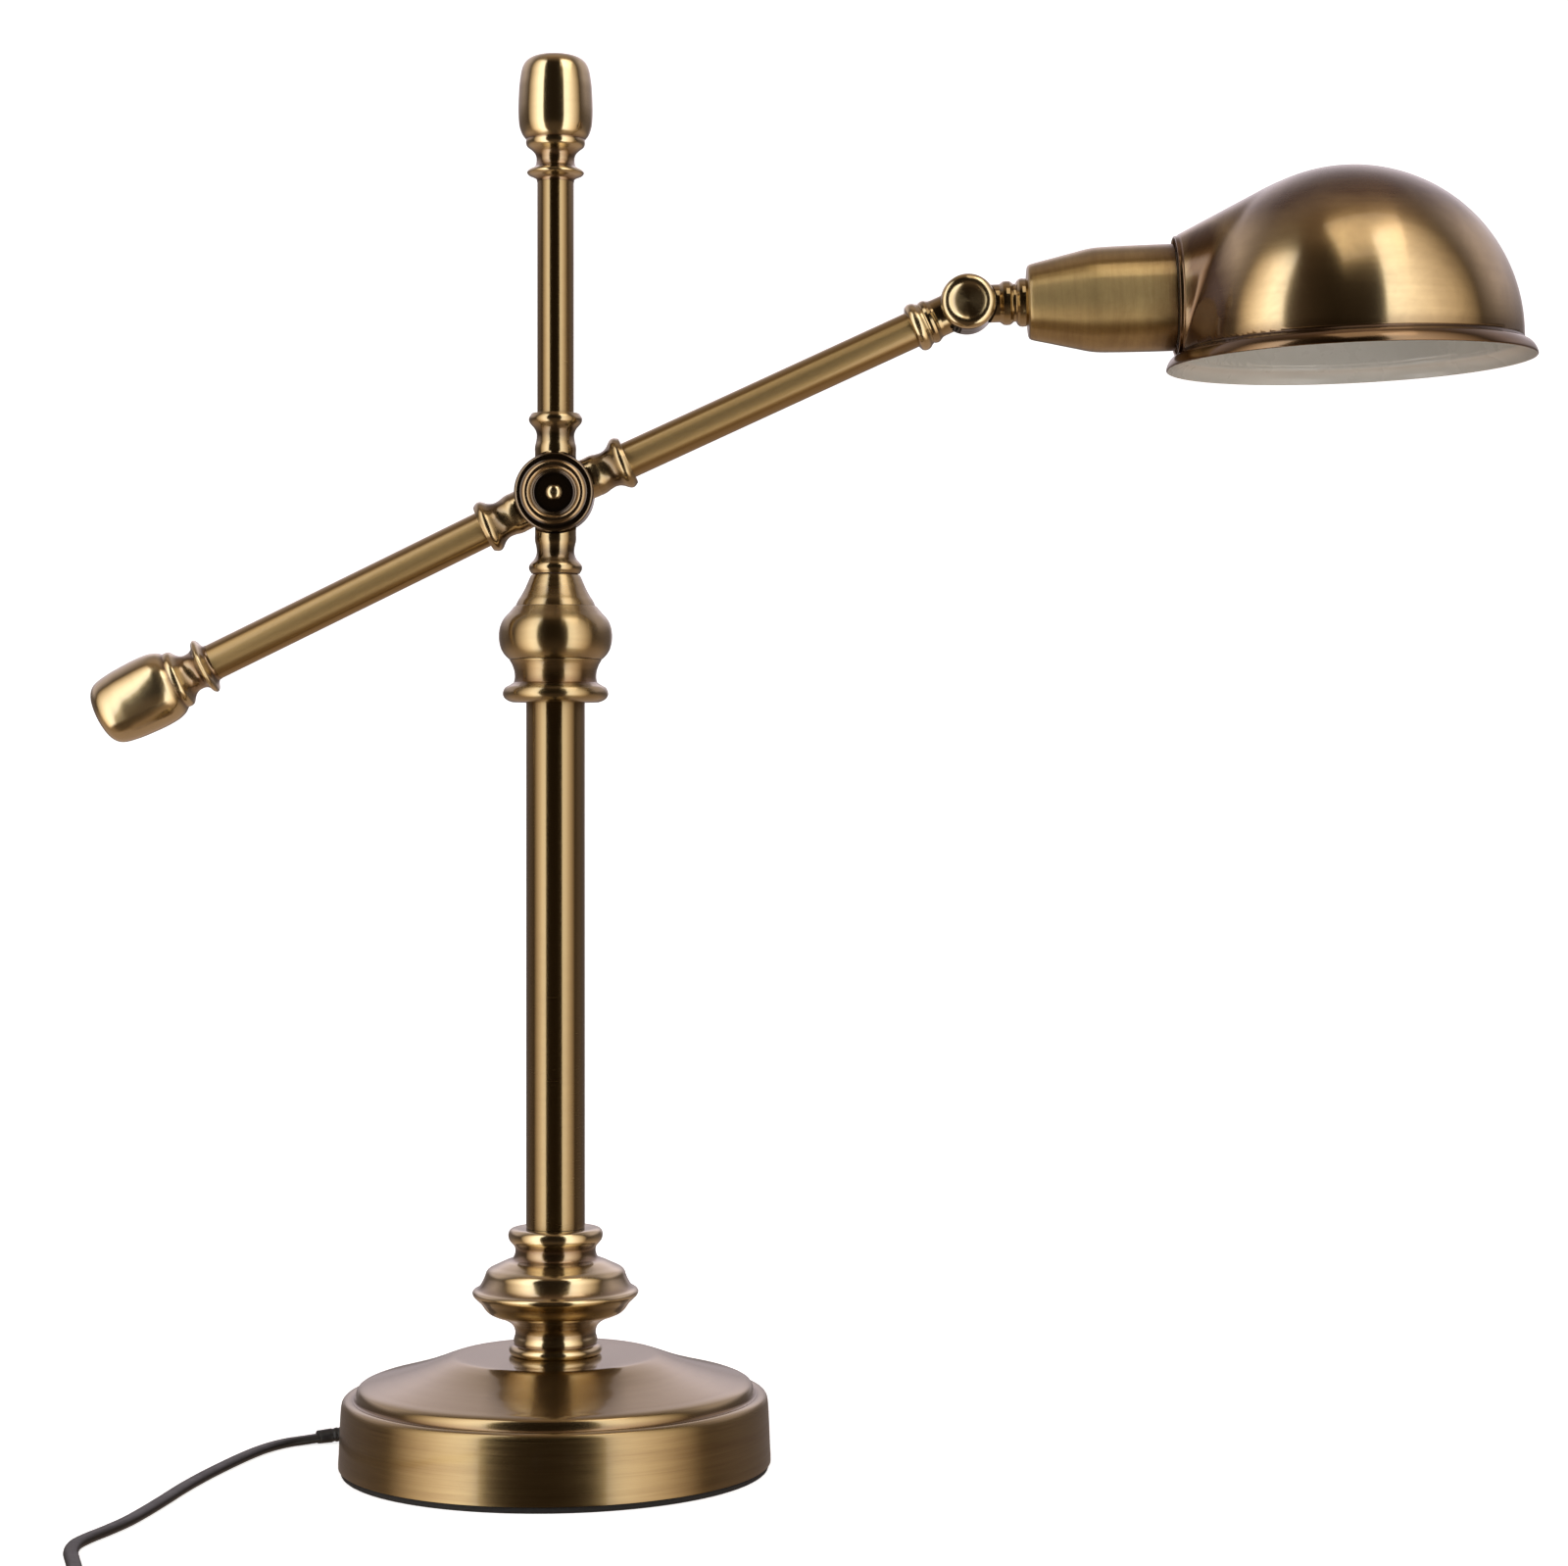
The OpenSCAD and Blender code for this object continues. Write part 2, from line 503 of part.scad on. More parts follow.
module switch_cover() color(BLACK)
  translate([sw_x, sw_y, 0]) difference() {
    union() {
      difference() {
        translate([0, 0, 7]) linear_extrude(sw_h - 7) case_outline(0);
        translate([0, 0, 6]) linear_extrude(sw_h - 7.6) case_outline(-1.6);
      }
      // cheeks that carry the rocker
      translate([-5, 4, 7]) cube([10, 2.4, sw_h - 8]);
      translate([-5, -6.4, 7]) cube([10, 2.4, sw_h - 8]);
    }
    translate([-8, -4, 6]) cube([16, 8, 12]);
    translate([0, 0, sw_pz]) disc_y(1.05, -5.6, 5.6);
  }

module switch_rocker() color([0.08, 0.08, 0.085])
  translate([sw_x, sw_y, sw_pz]) rotate([0, 8, 0]) union() {
    translate([0, 3.6, 0]) rotate([90, 0, 0]) linear_extrude(7.2)
      polygon([[-6.8, 1.0], [-7.0, 5.6], [0, 4.4], [7.0, 5.6], [6.8, 1.0], [2.0, -2.2], [-2.0, -2.2]]);
    disc_y(1.0, -5.4, 5.4);
  }

plug_x = 60;
plug_y = -270;
module plug_body() color(BLACK)
  translate([plug_x, plug_y, 8]) difference() {
    union() {
      rotate([0, 90, 0]) cylinder(r1 = 3.6, r2 = 6.2, h = 22);
      translate([20, -12, -6.5]) cube([6, 24, 13]);
      translate([22, -12.6, -8]) cube([24, 25.2, 16]);
    }
    translate([40, -7.15, -3.2]) cube([10, 1.6, 6.4]);
    translate([40, 5.55, -3.2]) cube([10, 1.6, 6.4]);
  }

module plug_blades() color(STEEL)
  for (y = [-7.1, 5.6]) translate([plug_x + 40, plug_y + y, 8 - 3.15]) difference() {
    cube([23, 1.5, 6.3]);
    translate([18.6, 3, 3.15]) rotate([90, 0, 0]) cylinder(r = 1.6, h = 5);
  }

// ---------- pieces ----------

base_pad();
base_shell();
base_weight();
base_washer();
base_nut();
tie_rod();
cord_relief();
knop();
column_tube();
urn_collar();
urn_ball();
urn_cone();
swivel_washer();
swivel_stop();
swivel_pin();
swivel_nut();
neck_collar_lower();
mast_hub();
neck_collar_upper();
top_rod();
top_finial();
joint_bolt();
joint_cap();
joint_washer();
joint_nut();
arm_hub();
neck_collar_left();
neck_collar_right();
arm_tube_left();
arm_tube_right();
arm_finial();
arm_end_collar();
knuckle_arm();
knuckle_bolt();
knuckle_cap();
knuckle_washer();
knuckle_nut();
knuckle_screw();
knuckle_head();
socket_cup();
lampholder();
thread_shell();
centre_contact();
shade();
shade_ring();
cord_run();
switch_base();
switch_cover();
switch_rocker();
cord_mid();
cord_coil();
coil_tie();
cord_end();
plug_body();
plug_blades();
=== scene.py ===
import json
import math

import bmesh
import bpy
from mathutils import Matrix, Vector, noise


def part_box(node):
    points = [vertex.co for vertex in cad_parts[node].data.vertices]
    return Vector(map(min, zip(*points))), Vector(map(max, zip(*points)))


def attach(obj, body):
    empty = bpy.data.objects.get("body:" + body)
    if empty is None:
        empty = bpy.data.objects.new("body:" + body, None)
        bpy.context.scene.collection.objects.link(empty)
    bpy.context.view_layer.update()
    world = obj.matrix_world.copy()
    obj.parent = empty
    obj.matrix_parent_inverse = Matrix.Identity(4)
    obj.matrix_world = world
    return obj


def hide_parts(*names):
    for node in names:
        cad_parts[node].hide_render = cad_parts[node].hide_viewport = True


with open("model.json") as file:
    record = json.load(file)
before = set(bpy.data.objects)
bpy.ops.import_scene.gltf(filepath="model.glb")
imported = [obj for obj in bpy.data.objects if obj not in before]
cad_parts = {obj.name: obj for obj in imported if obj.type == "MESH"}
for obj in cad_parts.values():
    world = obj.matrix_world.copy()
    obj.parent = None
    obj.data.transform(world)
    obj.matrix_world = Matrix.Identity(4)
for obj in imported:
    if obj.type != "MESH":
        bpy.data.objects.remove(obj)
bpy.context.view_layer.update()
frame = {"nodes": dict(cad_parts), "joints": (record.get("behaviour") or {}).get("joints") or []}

NODES = frame["nodes"]
MM = 0.001
D = math.pi / 180


def cad(name):
    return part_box(name)


# ---------------------------------------------------------------- camera
cam = bpy.data.objects.new("camera", bpy.data.cameras.new("camera"))
bpy.context.scene.collection.objects.link(cam)
cam.data.lens = 78.75
cam.data.sensor_width = 36.0
cam.data.sensor_fit = "HORIZONTAL"
cam.location = (0.1139, -1.3156, 0.268)
cam.rotation_euler = (90 * D, 0, 0)
cam.data.shift_x = -0.0437
cam.data.shift_y = -0.0087
cam.data.clip_start = 0.02
cam.data.clip_end = 60
bpy.context.scene.camera = cam

# ---------------------------------------------------------------- sizes, from the frame (millimetres)
Z_BASE = cad("base_shell")[1][2] / MM
Z_COL = Z_BASE + 48.5
Z_COLLAR = cad("column_tube")[1][2] / MM
Z_BALL = Z_COLLAR + 16.5
Z_CONE = Z_BALL + 20.4
Z_SEAM = Z_CONE + 12.4
JOINTS = {j["name"]: j for j in frame["joints"]}
Z_JOINT = JOINTS["arm_tilt"]["pos_m"][2] / MM
KX = JOINTS["head_tilt"]["pos_m"][0] / MM
KZ = JOINTS["head_tilt"]["pos_m"][2] / MM
ARM_R = math.atan2(KZ - Z_JOINT, KX)
ARM_L = 26.2 * D
HEAD = 1.9 * D
NECK_OUT = 30.7
T_KNUCKLE = math.hypot(KX, KZ - Z_JOINT)
T_END = T_KNUCKLE - 23.5
BASE_R = cad("base_shell")[1][0] / MM


def up(z):
    return Matrix.Translation((0, 0, z * MM))


def right_half(t=0.0):
    return Matrix.Translation((0, 0, Z_JOINT * MM)) @ Matrix.Rotation(90 * D - ARM_R, 4, "Y") @ Matrix.Translation((0, 0, t * MM))


def left_half(t=0.0):
    return Matrix.Translation((0, 0, Z_JOINT * MM)) @ Matrix.Rotation(270 * D - ARM_L, 4, "Y") @ Matrix.Translation((0, 0, t * MM))


HEAD_M = Matrix.Translation((KX * MM, 0, KZ * MM)) @ Matrix.Rotation(-HEAD, 4, "Y")


def along_head(t=0.0):
    return HEAD_M @ Matrix.Rotation(90 * D, 4, "Y") @ Matrix.Translation((0, 0, t * MM))


def face_front(x, y, z):
    """Local Z points at -Y, local origin at the point."""
    return Matrix.Translation((x * MM, y * MM, z * MM)) @ Matrix.Rotation(90 * D, 4, "X")


def face_back(x, y, z):
    return Matrix.Translation((x * MM, y * MM, z * MM)) @ Matrix.Rotation(-90 * D, 4, "X")


# ---------------------------------------------------------------- materials
def new_mat(name):
    m = bpy.data.materials.new(name)
    m.use_nodes = True
    nt = m.node_tree
    nt.nodes.clear()
    out = nt.nodes.new("ShaderNodeOutputMaterial")
    p = nt.nodes.new("ShaderNodeBsdfPrincipled")
    nt.links.new(p.outputs["BSDF"], out.inputs["Surface"])
    return m, nt, p


def node(nt, kind, **values):
    n = nt.nodes.new(kind)
    for k, v in values.items():
        setattr(n, k, v)
    return n


def math_node(nt, op, a, b=None, c=None, clamp=False):
    n = node(nt, "ShaderNodeMath", operation=op, use_clamp=clamp)
    for i, v in enumerate((a, b, c)):
        if v is None:
            continue
        if isinstance(v, (int, float)):
            n.inputs[i].default_value = v
        else:
            nt.links.new(v, n.inputs[i])
    return n.outputs[0]


def mix_col(nt, fac, a, b, blend="MIX"):
    n = node(nt, "ShaderNodeMix", data_type="RGBA", blend_type=blend)
    for sock, v in ((n.inputs[0], fac), (n.inputs[6], a), (n.inputs[7], b)):
        if isinstance(v, (int, float)):
            sock.default_value = v
        elif isinstance(v, (tuple, list)):
            sock.default_value = (*v[:3], 1)
        else:
            nt.links.new(v, sock)
    return n.outputs[2]


def ramp(nt, fac, lo, hi, a=0.0, b=1.0):
    n = node(nt, "ShaderNodeMapRange")
    n.clamp = True
    nt.links.new(fac, n.inputs["Value"])
    for k, v in (("From Min", lo), ("From Max", hi), ("To Min", a), ("To Max", b)):
        n.inputs[k].default_value = v
    return n.outputs["Result"]


def noise_tex(nt, vec, scale, detail=4.0, rough=0.55, distortion=0.0):
    n = node(nt, "ShaderNodeTexNoise")
    n.inputs["Scale"].default_value = scale
    n.inputs["Detail"].default_value = detail
    n.inputs["Roughness"].default_value = rough
    n.inputs["Distortion"].default_value = distortion
    nt.links.new(vec, n.inputs["Vector"])
    return n.outputs["Fac"]


def ring_vector(nt, obj_vec, across, along):
    """Coordinates for marks that run round the local Z axis: fine across them, long along them."""
    s = node(nt, "ShaderNodeSeparateXYZ")
    nt.links.new(obj_vec, s.inputs[0])
    x, y, z = s.outputs
    r = math_node(nt, "SQRT", math_node(nt, "ADD", math_node(nt, "MULTIPLY", x, x), math_node(nt, "MULTIPLY", y, y)))
    rr = math_node(nt, "MAXIMUM", r, 0.0004)
    c = math_node(nt, "MULTIPLY", math_node(nt, "DIVIDE", x, rr), along)
    d = math_node(nt, "MULTIPLY", math_node(nt, "DIVIDE", y, rr), along)
    e = math_node(nt, "MULTIPLY", math_node(nt, "ADD", z, math_node(nt, "MULTIPLY", r, 1.37)), across)
    v = node(nt, "ShaderNodeCombineXYZ")
    nt.links.new(c, v.inputs[0])
    nt.links.new(d, v.inputs[1])
    nt.links.new(e, v.inputs[2])
    return v.outputs[0]


def brass(name, bright=(0.50, 0.345, 0.138), dark=(0.26, 0.145, 0.055), rough=0.2, aniso=0.0, mottle=0.35, brush=0.5,
          brush_scale=2600.0, mottle_scale=38.0, coat=0.5, coat_rough=0.08, patina_and_shade_weight=1.0, bump=0.25, cloud=0.0, grit=0.0,
          coat_ior=1.5):
    """Antique brass: a lacquered alloy whose brown toning lies in the hollows and is rubbed off the high edges. The
    same darkening also paints shade on the lamp shade and the socket cup.
    """
    m, nt, p = new_mat(name)
    glint = tuple(min(1.0, c * 1.3 + 0.02) for c in bright)
    tc = node(nt, "ShaderNodeTexCoord")
    vec = tc.outputs["Object"]
    # brushing round the axis
    fine = noise_tex(nt, ring_vector(nt, vec, brush_scale, 2.2), 1.0, 3.0, 0.6)
    band = noise_tex(nt, ring_vector(nt, vec, brush_scale * 0.16, 1.2), 1.0, 3.0, 0.6)
    # toning in soft clouds, and small specks
    clouds = noise_tex(nt, vec, mottle_scale, 5.0, 0.62, 0.4)
    wide = noise_tex(nt, vec, mottle_scale * 0.28, 2.0, 0.5, 0.2)
    specks = noise_tex(nt, vec, 950.0, 2.0, 0.5)
    tone = math_node(nt, "ADD", math_node(nt, "MULTIPLY", ramp(nt, clouds, 0.36, 0.68), mottle * 0.6),
                     math_node(nt, "MULTIPLY", ramp(nt, wide, 0.38, 0.66), mottle * 0.6))
    tone = math_node(nt, "ADD", tone, math_node(nt, "MULTIPLY", ramp(nt, band, 0.40, 0.64), 0.22 * brush))
    tone = math_node(nt, "ADD", tone, math_node(nt, "MULTIPLY", ramp(nt, specks, 0.62, 0.74), 0.05))
    # darkening read from the mesh: patina in the hollows, and painted shade on the lamp shade and socket cup
    att = node(nt, "ShaderNodeAttribute", attribute_name="patina_and_painted_shade", attribute_type="GEOMETRY")
    patina_and_painted_shade = math_node(nt, "MULTIPLY", ramp(nt, att.outputs["Fac"], 0.5, 1.0), patina_and_shade_weight)
    wear = ramp(nt, att.outputs["Fac"], 0.5, 0.0)
    tone = math_node(nt, "ADD", tone, patina_and_painted_shade)
    tone = math_node(nt, "SUBTRACT", tone, math_node(nt, "MULTIPLY", wear, 0.35), clamp=True)
    base = mix_col(nt, tone, bright, dark)
    base = mix_col(nt, math_node(nt, "MULTIPLY", ramp(nt, fine, 0.3, 0.75), 0.16 * brush), base, glint)
    nt.links.new(base, p.inputs["Base Color"])
    p.inputs["Metallic"].default_value = 1.0
    ro = math_node(nt, "ADD", rough, math_node(nt, "MULTIPLY", tone, 0.07))
    ro = math_node(nt, "ADD", ro, math_node(nt, "MULTIPLY", ramp(nt, fine, 0.3, 0.7), 0.07 * brush))
    if cloud:
        ro = math_node(nt, "ADD", ro, math_node(nt, "MULTIPLY", ramp(nt, clouds, 0.3, 0.7), cloud))
    nt.links.new(ro, p.inputs["Roughness"])
    if bump:
        h = math_node(nt, "ADD", math_node(nt, "MULTIPLY", fine, brush), math_node(nt, "MULTIPLY", specks, grit))
        b = node(nt, "ShaderNodeBump")
        b.inputs["Strength"].default_value = bump
        b.inputs["Distance"].default_value = 0.00002
        nt.links.new(h, b.inputs["Height"])
        nt.links.new(b.outputs["Normal"], p.inputs["Normal"])
    if aniso:
        p.inputs["Anisotropic"].default_value = aniso
        p.inputs["Anisotropic Rotation"].default_value = 0.25
        t = node(nt, "ShaderNodeTangent", direction_type="RADIAL", axis="Z")
        nt.links.new(t.outputs["Tangent"], p.inputs["Tangent"])
    p.inputs["Coat Weight"].default_value = coat
    p.inputs["Coat Roughness"].default_value = coat_rough
    p.inputs["Coat IOR"].default_value = coat_ior
    return m


def plain_metal(name, bright, dark, rough, scale=160.0, metallic=1.0, bump=0.2):
    m, nt, p = new_mat(name)
    tc = node(nt, "ShaderNodeTexCoord")
    n1 = noise_tex(nt, tc.outputs["Object"], scale, 5.0, 0.6)
    n2 = noise_tex(nt, tc.outputs["Object"], scale * 12, 3.0, 0.6)
    tone = ramp(nt, n1, 0.35, 0.7)
    nt.links.new(mix_col(nt, tone, bright, dark), p.inputs["Base Color"])
    p.inputs["Metallic"].default_value = metallic
    nt.links.new(math_node(nt, "ADD", rough, math_node(nt, "MULTIPLY", n2, 0.14)), p.inputs["Roughness"])
    b = node(nt, "ShaderNodeBump")
    b.inputs["Strength"].default_value = bump
    b.inputs["Distance"].default_value = 0.00006
    nt.links.new(n2, b.inputs["Height"])
    nt.links.new(b.outputs["Normal"], p.inputs["Normal"])
    return m


def soft_black(name, a, b_, rough, grain=1400.0, bump=0.3, coat=0.0, depth=0.00005):
    """Moulded plastic or rubber: fine pitted grain, slight scuffs."""
    m, nt, p = new_mat(name)
    tc = node(nt, "ShaderNodeTexCoord")
    g = noise_tex(nt, tc.outputs["Object"], grain, 3.0, 0.6)
    v = node(nt, "ShaderNodeTexVoronoi")
    v.inputs["Scale"].default_value = grain * 1.3
    nt.links.new(tc.outputs["Object"], v.inputs["Vector"])
    scuff = noise_tex(nt, tc.outputs["Object"], 90.0, 6.0, 0.7, 0.6)
    nt.links.new(mix_col(nt, ramp(nt, scuff, 0.45, 0.75), a, b_), p.inputs["Base Color"])
    nt.links.new(math_node(nt, "ADD", rough, math_node(nt, "MULTIPLY", ramp(nt, scuff, 0.4, 0.8), 0.14)), p.inputs["Roughness"])
    bu = node(nt, "ShaderNodeBump")
    bu.inputs["Strength"].default_value = bump
    bu.inputs["Distance"].default_value = depth
    nt.links.new(math_node(nt, "ADD", g, v.outputs["Distance"]), bu.inputs["Height"])
    nt.links.new(bu.outputs["Normal"], p.inputs["Normal"])
    p.inputs["Coat Weight"].default_value = coat
    p.inputs["Coat Roughness"].default_value = 0.2
    return m


def enamel(name, a, b_, rough=0.22, orange=520.0, coat=0.4):
    m, nt, p = new_mat(name)
    tc = node(nt, "ShaderNodeTexCoord")
    n1 = noise_tex(nt, tc.outputs["Object"], 46.0, 4.0, 0.6, 0.3)
    n2 = noise_tex(nt, tc.outputs["Object"], orange, 2.0, 0.5)
    nt.links.new(mix_col(nt, ramp(nt, n1, 0.35, 0.7), a, b_), p.inputs["Base Color"])
    nt.links.new(math_node(nt, "ADD", rough, math_node(nt, "MULTIPLY", n1, 0.12)), p.inputs["Roughness"])
    bu = node(nt, "ShaderNodeBump")
    bu.inputs["Strength"].default_value = 0.25
    bu.inputs["Distance"].default_value = 0.00008
    nt.links.new(n2, bu.inputs["Height"])
    nt.links.new(bu.outputs["Normal"], p.inputs["Normal"])
    p.inputs["Coat Weight"].default_value = coat
    p.inputs["Coat Roughness"].default_value = 0.12
    return m


BRIGHT = (0.53, 0.415, 0.225)
BROWN = (0.20, 0.115, 0.045)
POL = brass("polished_brass", BRIGHT, BROWN, rough=0.18, aniso=0.80, mottle=0.14, brush=0.2, patina_and_shade_weight=1.0, coat=1.0, bump=0.01, coat_ior=1.65)
CAST = brass("cast_brass", (0.36, 0.265, 0.13), BROWN, rough=0.13, mottle=0.30, brush=0.0, patina_and_shade_weight=0.9, coat=1.0, bump=0.03, grit=0.3)
SAT = brass("brushed_brass", (0.265, 0.188, 0.084), (0.17, 0.110, 0.048), rough=0.24, aniso=1.0, mottle=0.14, brush=0.40, patina_and_shade_weight=0.8, coat=0.6,
            bump=0.01)
ARM = brass("arm_brass", (0.355, 0.247, 0.108), (0.24, 0.152, 0.062), rough=0.29, aniso=1.0, mottle=0.16, brush=0.35, patina_and_shade_weight=0.8, coat=0.35,
            bump=0.01)
URN = brass("turned_brass", (0.37, 0.278, 0.138), BROWN, rough=0.24, aniso=0.95, mottle=0.16, brush=0.40, patina_and_shade_weight=1.0, coat=0.8, bump=0.01)
BASE = brass("base_brass", (0.32, 0.232, 0.106), (0.20, 0.122, 0.052), rough=0.26, aniso=0.80, mottle=0.30, brush=1.7, patina_and_shade_weight=0.9, coat=0.5,
             bump=0.06, mottle_scale=26.0)
BTOP = brass("base_top_brass", (0.34, 0.250, 0.120), (0.19, 0.115, 0.050), rough=0.19, aniso=0.45, mottle=0.26, brush=0.45, patina_and_shade_weight=0.9, coat=0.8,
             bump=0.02, mottle_scale=26.0)
# lamp shade's brass: random toning, plus painted shade where the mesh's darkening values are high
PATINA_AND_PAINTED_SHADE = brass("patina_brass", (0.57, 0.435, 0.235), (0.105, 0.052, 0.020), rough=0.16, aniso=0.80, mottle=0.34, brush=0.30, patina_and_shade_weight=1.0, coat=0.7,
            bump=0.015, mottle_scale=44.0, cloud=0.04)
# a darker copy of the brass: painted shade on the shade's rim and mouth ring
LIP_PAINTED_SHADE = brass("lip_painted_shade_brass", (0.17, 0.104, 0.052), (0.060, 0.032, 0.016), rough=0.18, aniso=0.5, mottle=0.4, brush=0.2, patina_and_shade_weight=0.8, coat=0.5, bump=0.01)
NECKB = brass("neck_brass", (0.36, 0.268, 0.135), (0.10, 0.060, 0.026), rough=0.18, aniso=0.70, mottle=0.42, brush=0.2, patina_and_shade_weight=1.0, coat=1.0,
              bump=0.01, mottle_scale=70.0)
CUP = brass("cup_brass", (0.48, 0.355, 0.160), (0.14, 0.078, 0.032), rough=0.29, aniso=0.95, mottle=0.50, brush=0.6, patina_and_shade_weight=1.0, coat=0.4,
            bump=0.03, mottle_scale=60.0)
DARKB = brass("dark_brass", (0.13, 0.088, 0.046), (0.030, 0.018, 0.010), rough=0.16, mottle=0.5, brush=0.2, patina_and_shade_weight=0.8, coat=1.0, bump=0.03)
RING = brass("ring_brass", (0.30, 0.205, 0.105), (0.10, 0.060, 0.028), rough=0.20, mottle=0.4, brush=0.2, patina_and_shade_weight=0.8, coat=0.8, bump=0.02)
STEEL = plain_metal("steel_zinc", (0.62, 0.62, 0.63), (0.48, 0.48, 0.50), 0.26)
DSTEEL = plain_metal("dark_steel", (0.06, 0.05, 0.045), (0.03, 0.025, 0.02), 0.35)
IRON = plain_metal("cast_iron", (0.10, 0.10, 0.105), (0.04, 0.04, 0.042), 0.62, 220.0, 0.6, 0.8)
PAD = soft_black("pad_rubber", (0.010, 0.010, 0.011), (0.020, 0.020, 0.021), 0.75, 700.0, 0.5)
RUB = soft_black("soft_rubber", (0.012, 0.012, 0.013), (0.022, 0.022, 0.023), 0.42, 1500.0, 0.25)
CORD = soft_black("cord_jacket", (0.006, 0.006, 0.007), (0.011, 0.011, 0.012), 0.42, 900.0, 0.18, 0.05)
PLAS = soft_black("black_plastic", (0.012, 0.012, 0.013), (0.024, 0.024, 0.025), 0.46, 2200.0, 0.4)
ROCK = soft_black("rocker_plastic", (0.016, 0.016, 0.017), (0.024, 0.024, 0.025), 0.16, 1600.0, 0.08, 0.5)
FIBRE = soft_black("fibre", (0.10, 0.05, 0.03), (0.05, 0.025, 0.015), 0.7, 500.0, 0.6)
ENAM = enamel("white_enamel", (0.66, 0.68, 0.67), (0.60, 0.62, 0.61))
PORC = enamel("porcelain", (0.80, 0.79, 0.75), (0.74, 0.73, 0.69), 0.14, 300.0, 0.8)
BARE = plain_metal("bare_brass", (0.72, 0.56, 0.27), (0.55, 0.40, 0.18), 0.24)


# ---------------------------------------------------------------- mesh helpers
def make_object(name, verts, faces, mats, body, matrix=None, patina_and_painted_shade=None, face_mat=None, smooth=True, sharp=None):
    me = bpy.data.meshes.new(name)
    me.from_pydata([tuple(v) for v in verts], [], faces)
    me.validate(clean_customdata=False)
    if patina_and_painted_shade is not None:
        a = me.attributes.new("patina_and_painted_shade", "FLOAT", "POINT")
        a.data.foreach_set("value", patina_and_painted_shade)
    for m in (mats if isinstance(mats, (list, tuple)) else [mats]):
        me.materials.append(m)
    if face_mat is not None:
        me.polygons.foreach_set("material_index", face_mat)
    me.polygons.foreach_set("use_smooth", [smooth] * len(me.polygons))
    me.update()
    o = bpy.data.objects.new(name, me)
    bpy.context.scene.collection.objects.link(o)
    if matrix is not None:
        o.matrix_world = matrix
    bpy.context.view_layer.update()
    if sharp:
        me.set_sharp_from_angle(angle=sharp * D)
    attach(o, body)
    return o


def finer(pts, step, corner, fillet):
    """A closed or open outline of [r, z] points: smooth runs between corners, and a small round at each corner."""
    n = len(pts)
    P = [Vector((p[0], p[1])) for p in pts]
    corners = {0, n - 1}
    for i in range(1, n - 1):
        a, b = P[i] - P[i - 1], P[i + 1] - P[i]
        if a.length < 1e-6 or b.length < 1e-6:
            continue
        if a.angle(b) > corner * D:
            corners.add(i)
    out = []
    cs = sorted(corners)
    for s, e in zip(cs, cs[1:]):
        seg = P[s:e + 1]
        m = len(seg)
        if m == 2:
            run = [seg[0], seg[1]]
        else:
            run = []
            for i in range(m - 1):
                p0 = seg[i - 1] if i > 0 else seg[0] * 2 - seg[1]
                p1, p2 = seg[i], seg[i + 1]
                p3 = seg[i + 2] if i + 2 < m else seg[-1] * 2 - seg[-2]
                k = max(1, int(math.ceil((p2 - p1).length / step)))
                t0 = 0.0
                t1 = t0 + max(1e-4, (p1 - p0).length) ** 0.5
                t2 = t1 + max(1e-4, (p2 - p1).length) ** 0.5
                t3 = t2 + max(1e-4, (p3 - p2).length) ** 0.5
                for j in range(k):
                    t = t1 + (t2 - t1) * j / k
                    A1 = p0 * ((t1 - t) / (t1 - t0)) + p1 * ((t - t0) / (t1 - t0))
                    A2 = p1 * ((t2 - t) / (t2 - t1)) + p2 * ((t - t1) / (t2 - t1))
                    A3 = p2 * ((t3 - t) / (t3 - t2)) + p3 * ((t - t2) / (t3 - t2))
                    B1 = A1 * ((t2 - t) / (t2 - t0)) + A2 * ((t - t0) / (t2 - t0))
                    B2 = A2 * ((t3 - t) / (t3 - t1)) + A3 * ((t - t1) / (t3 - t1))
                    run.append(B1 * ((t2 - t) / (t2 - t1)) + B2 * ((t - t1) / (t2 - t1)))
            run.append(seg[-1])
        if out:
            out.append(("corner", run[0]))
            run = run[1:]
        else:
            out.append(("end", run[0]))
            run = run[1:]
        for v in run[:-1]:
            out.append(("s", v))
        if e == n - 1:
            out.append(("end", run[-1]))
    res = []
    for i, (kind, v) in enumerate(out):
        if kind != "corner" or i == 0 or i == len(out) - 1:
            res.append(v)
            continue
        a, b = out[i - 1][1] - v, out[i + 1][1] - v
        f = min(fillet, a.length * 0.45, b.length * 0.45)
        if f < 0.01:
            res.append(v)
            continue
        a, b = v + a.normalized() * f, v + b.normalized() * f
        for t in (0.0, 0.25, 0.5, 0.75, 1.0):
            res.append(a * (1 - t) ** 2 + v * (2 * t * (1 - t)) + b * t * t)
    return [(p.x, p.y) for p in res]


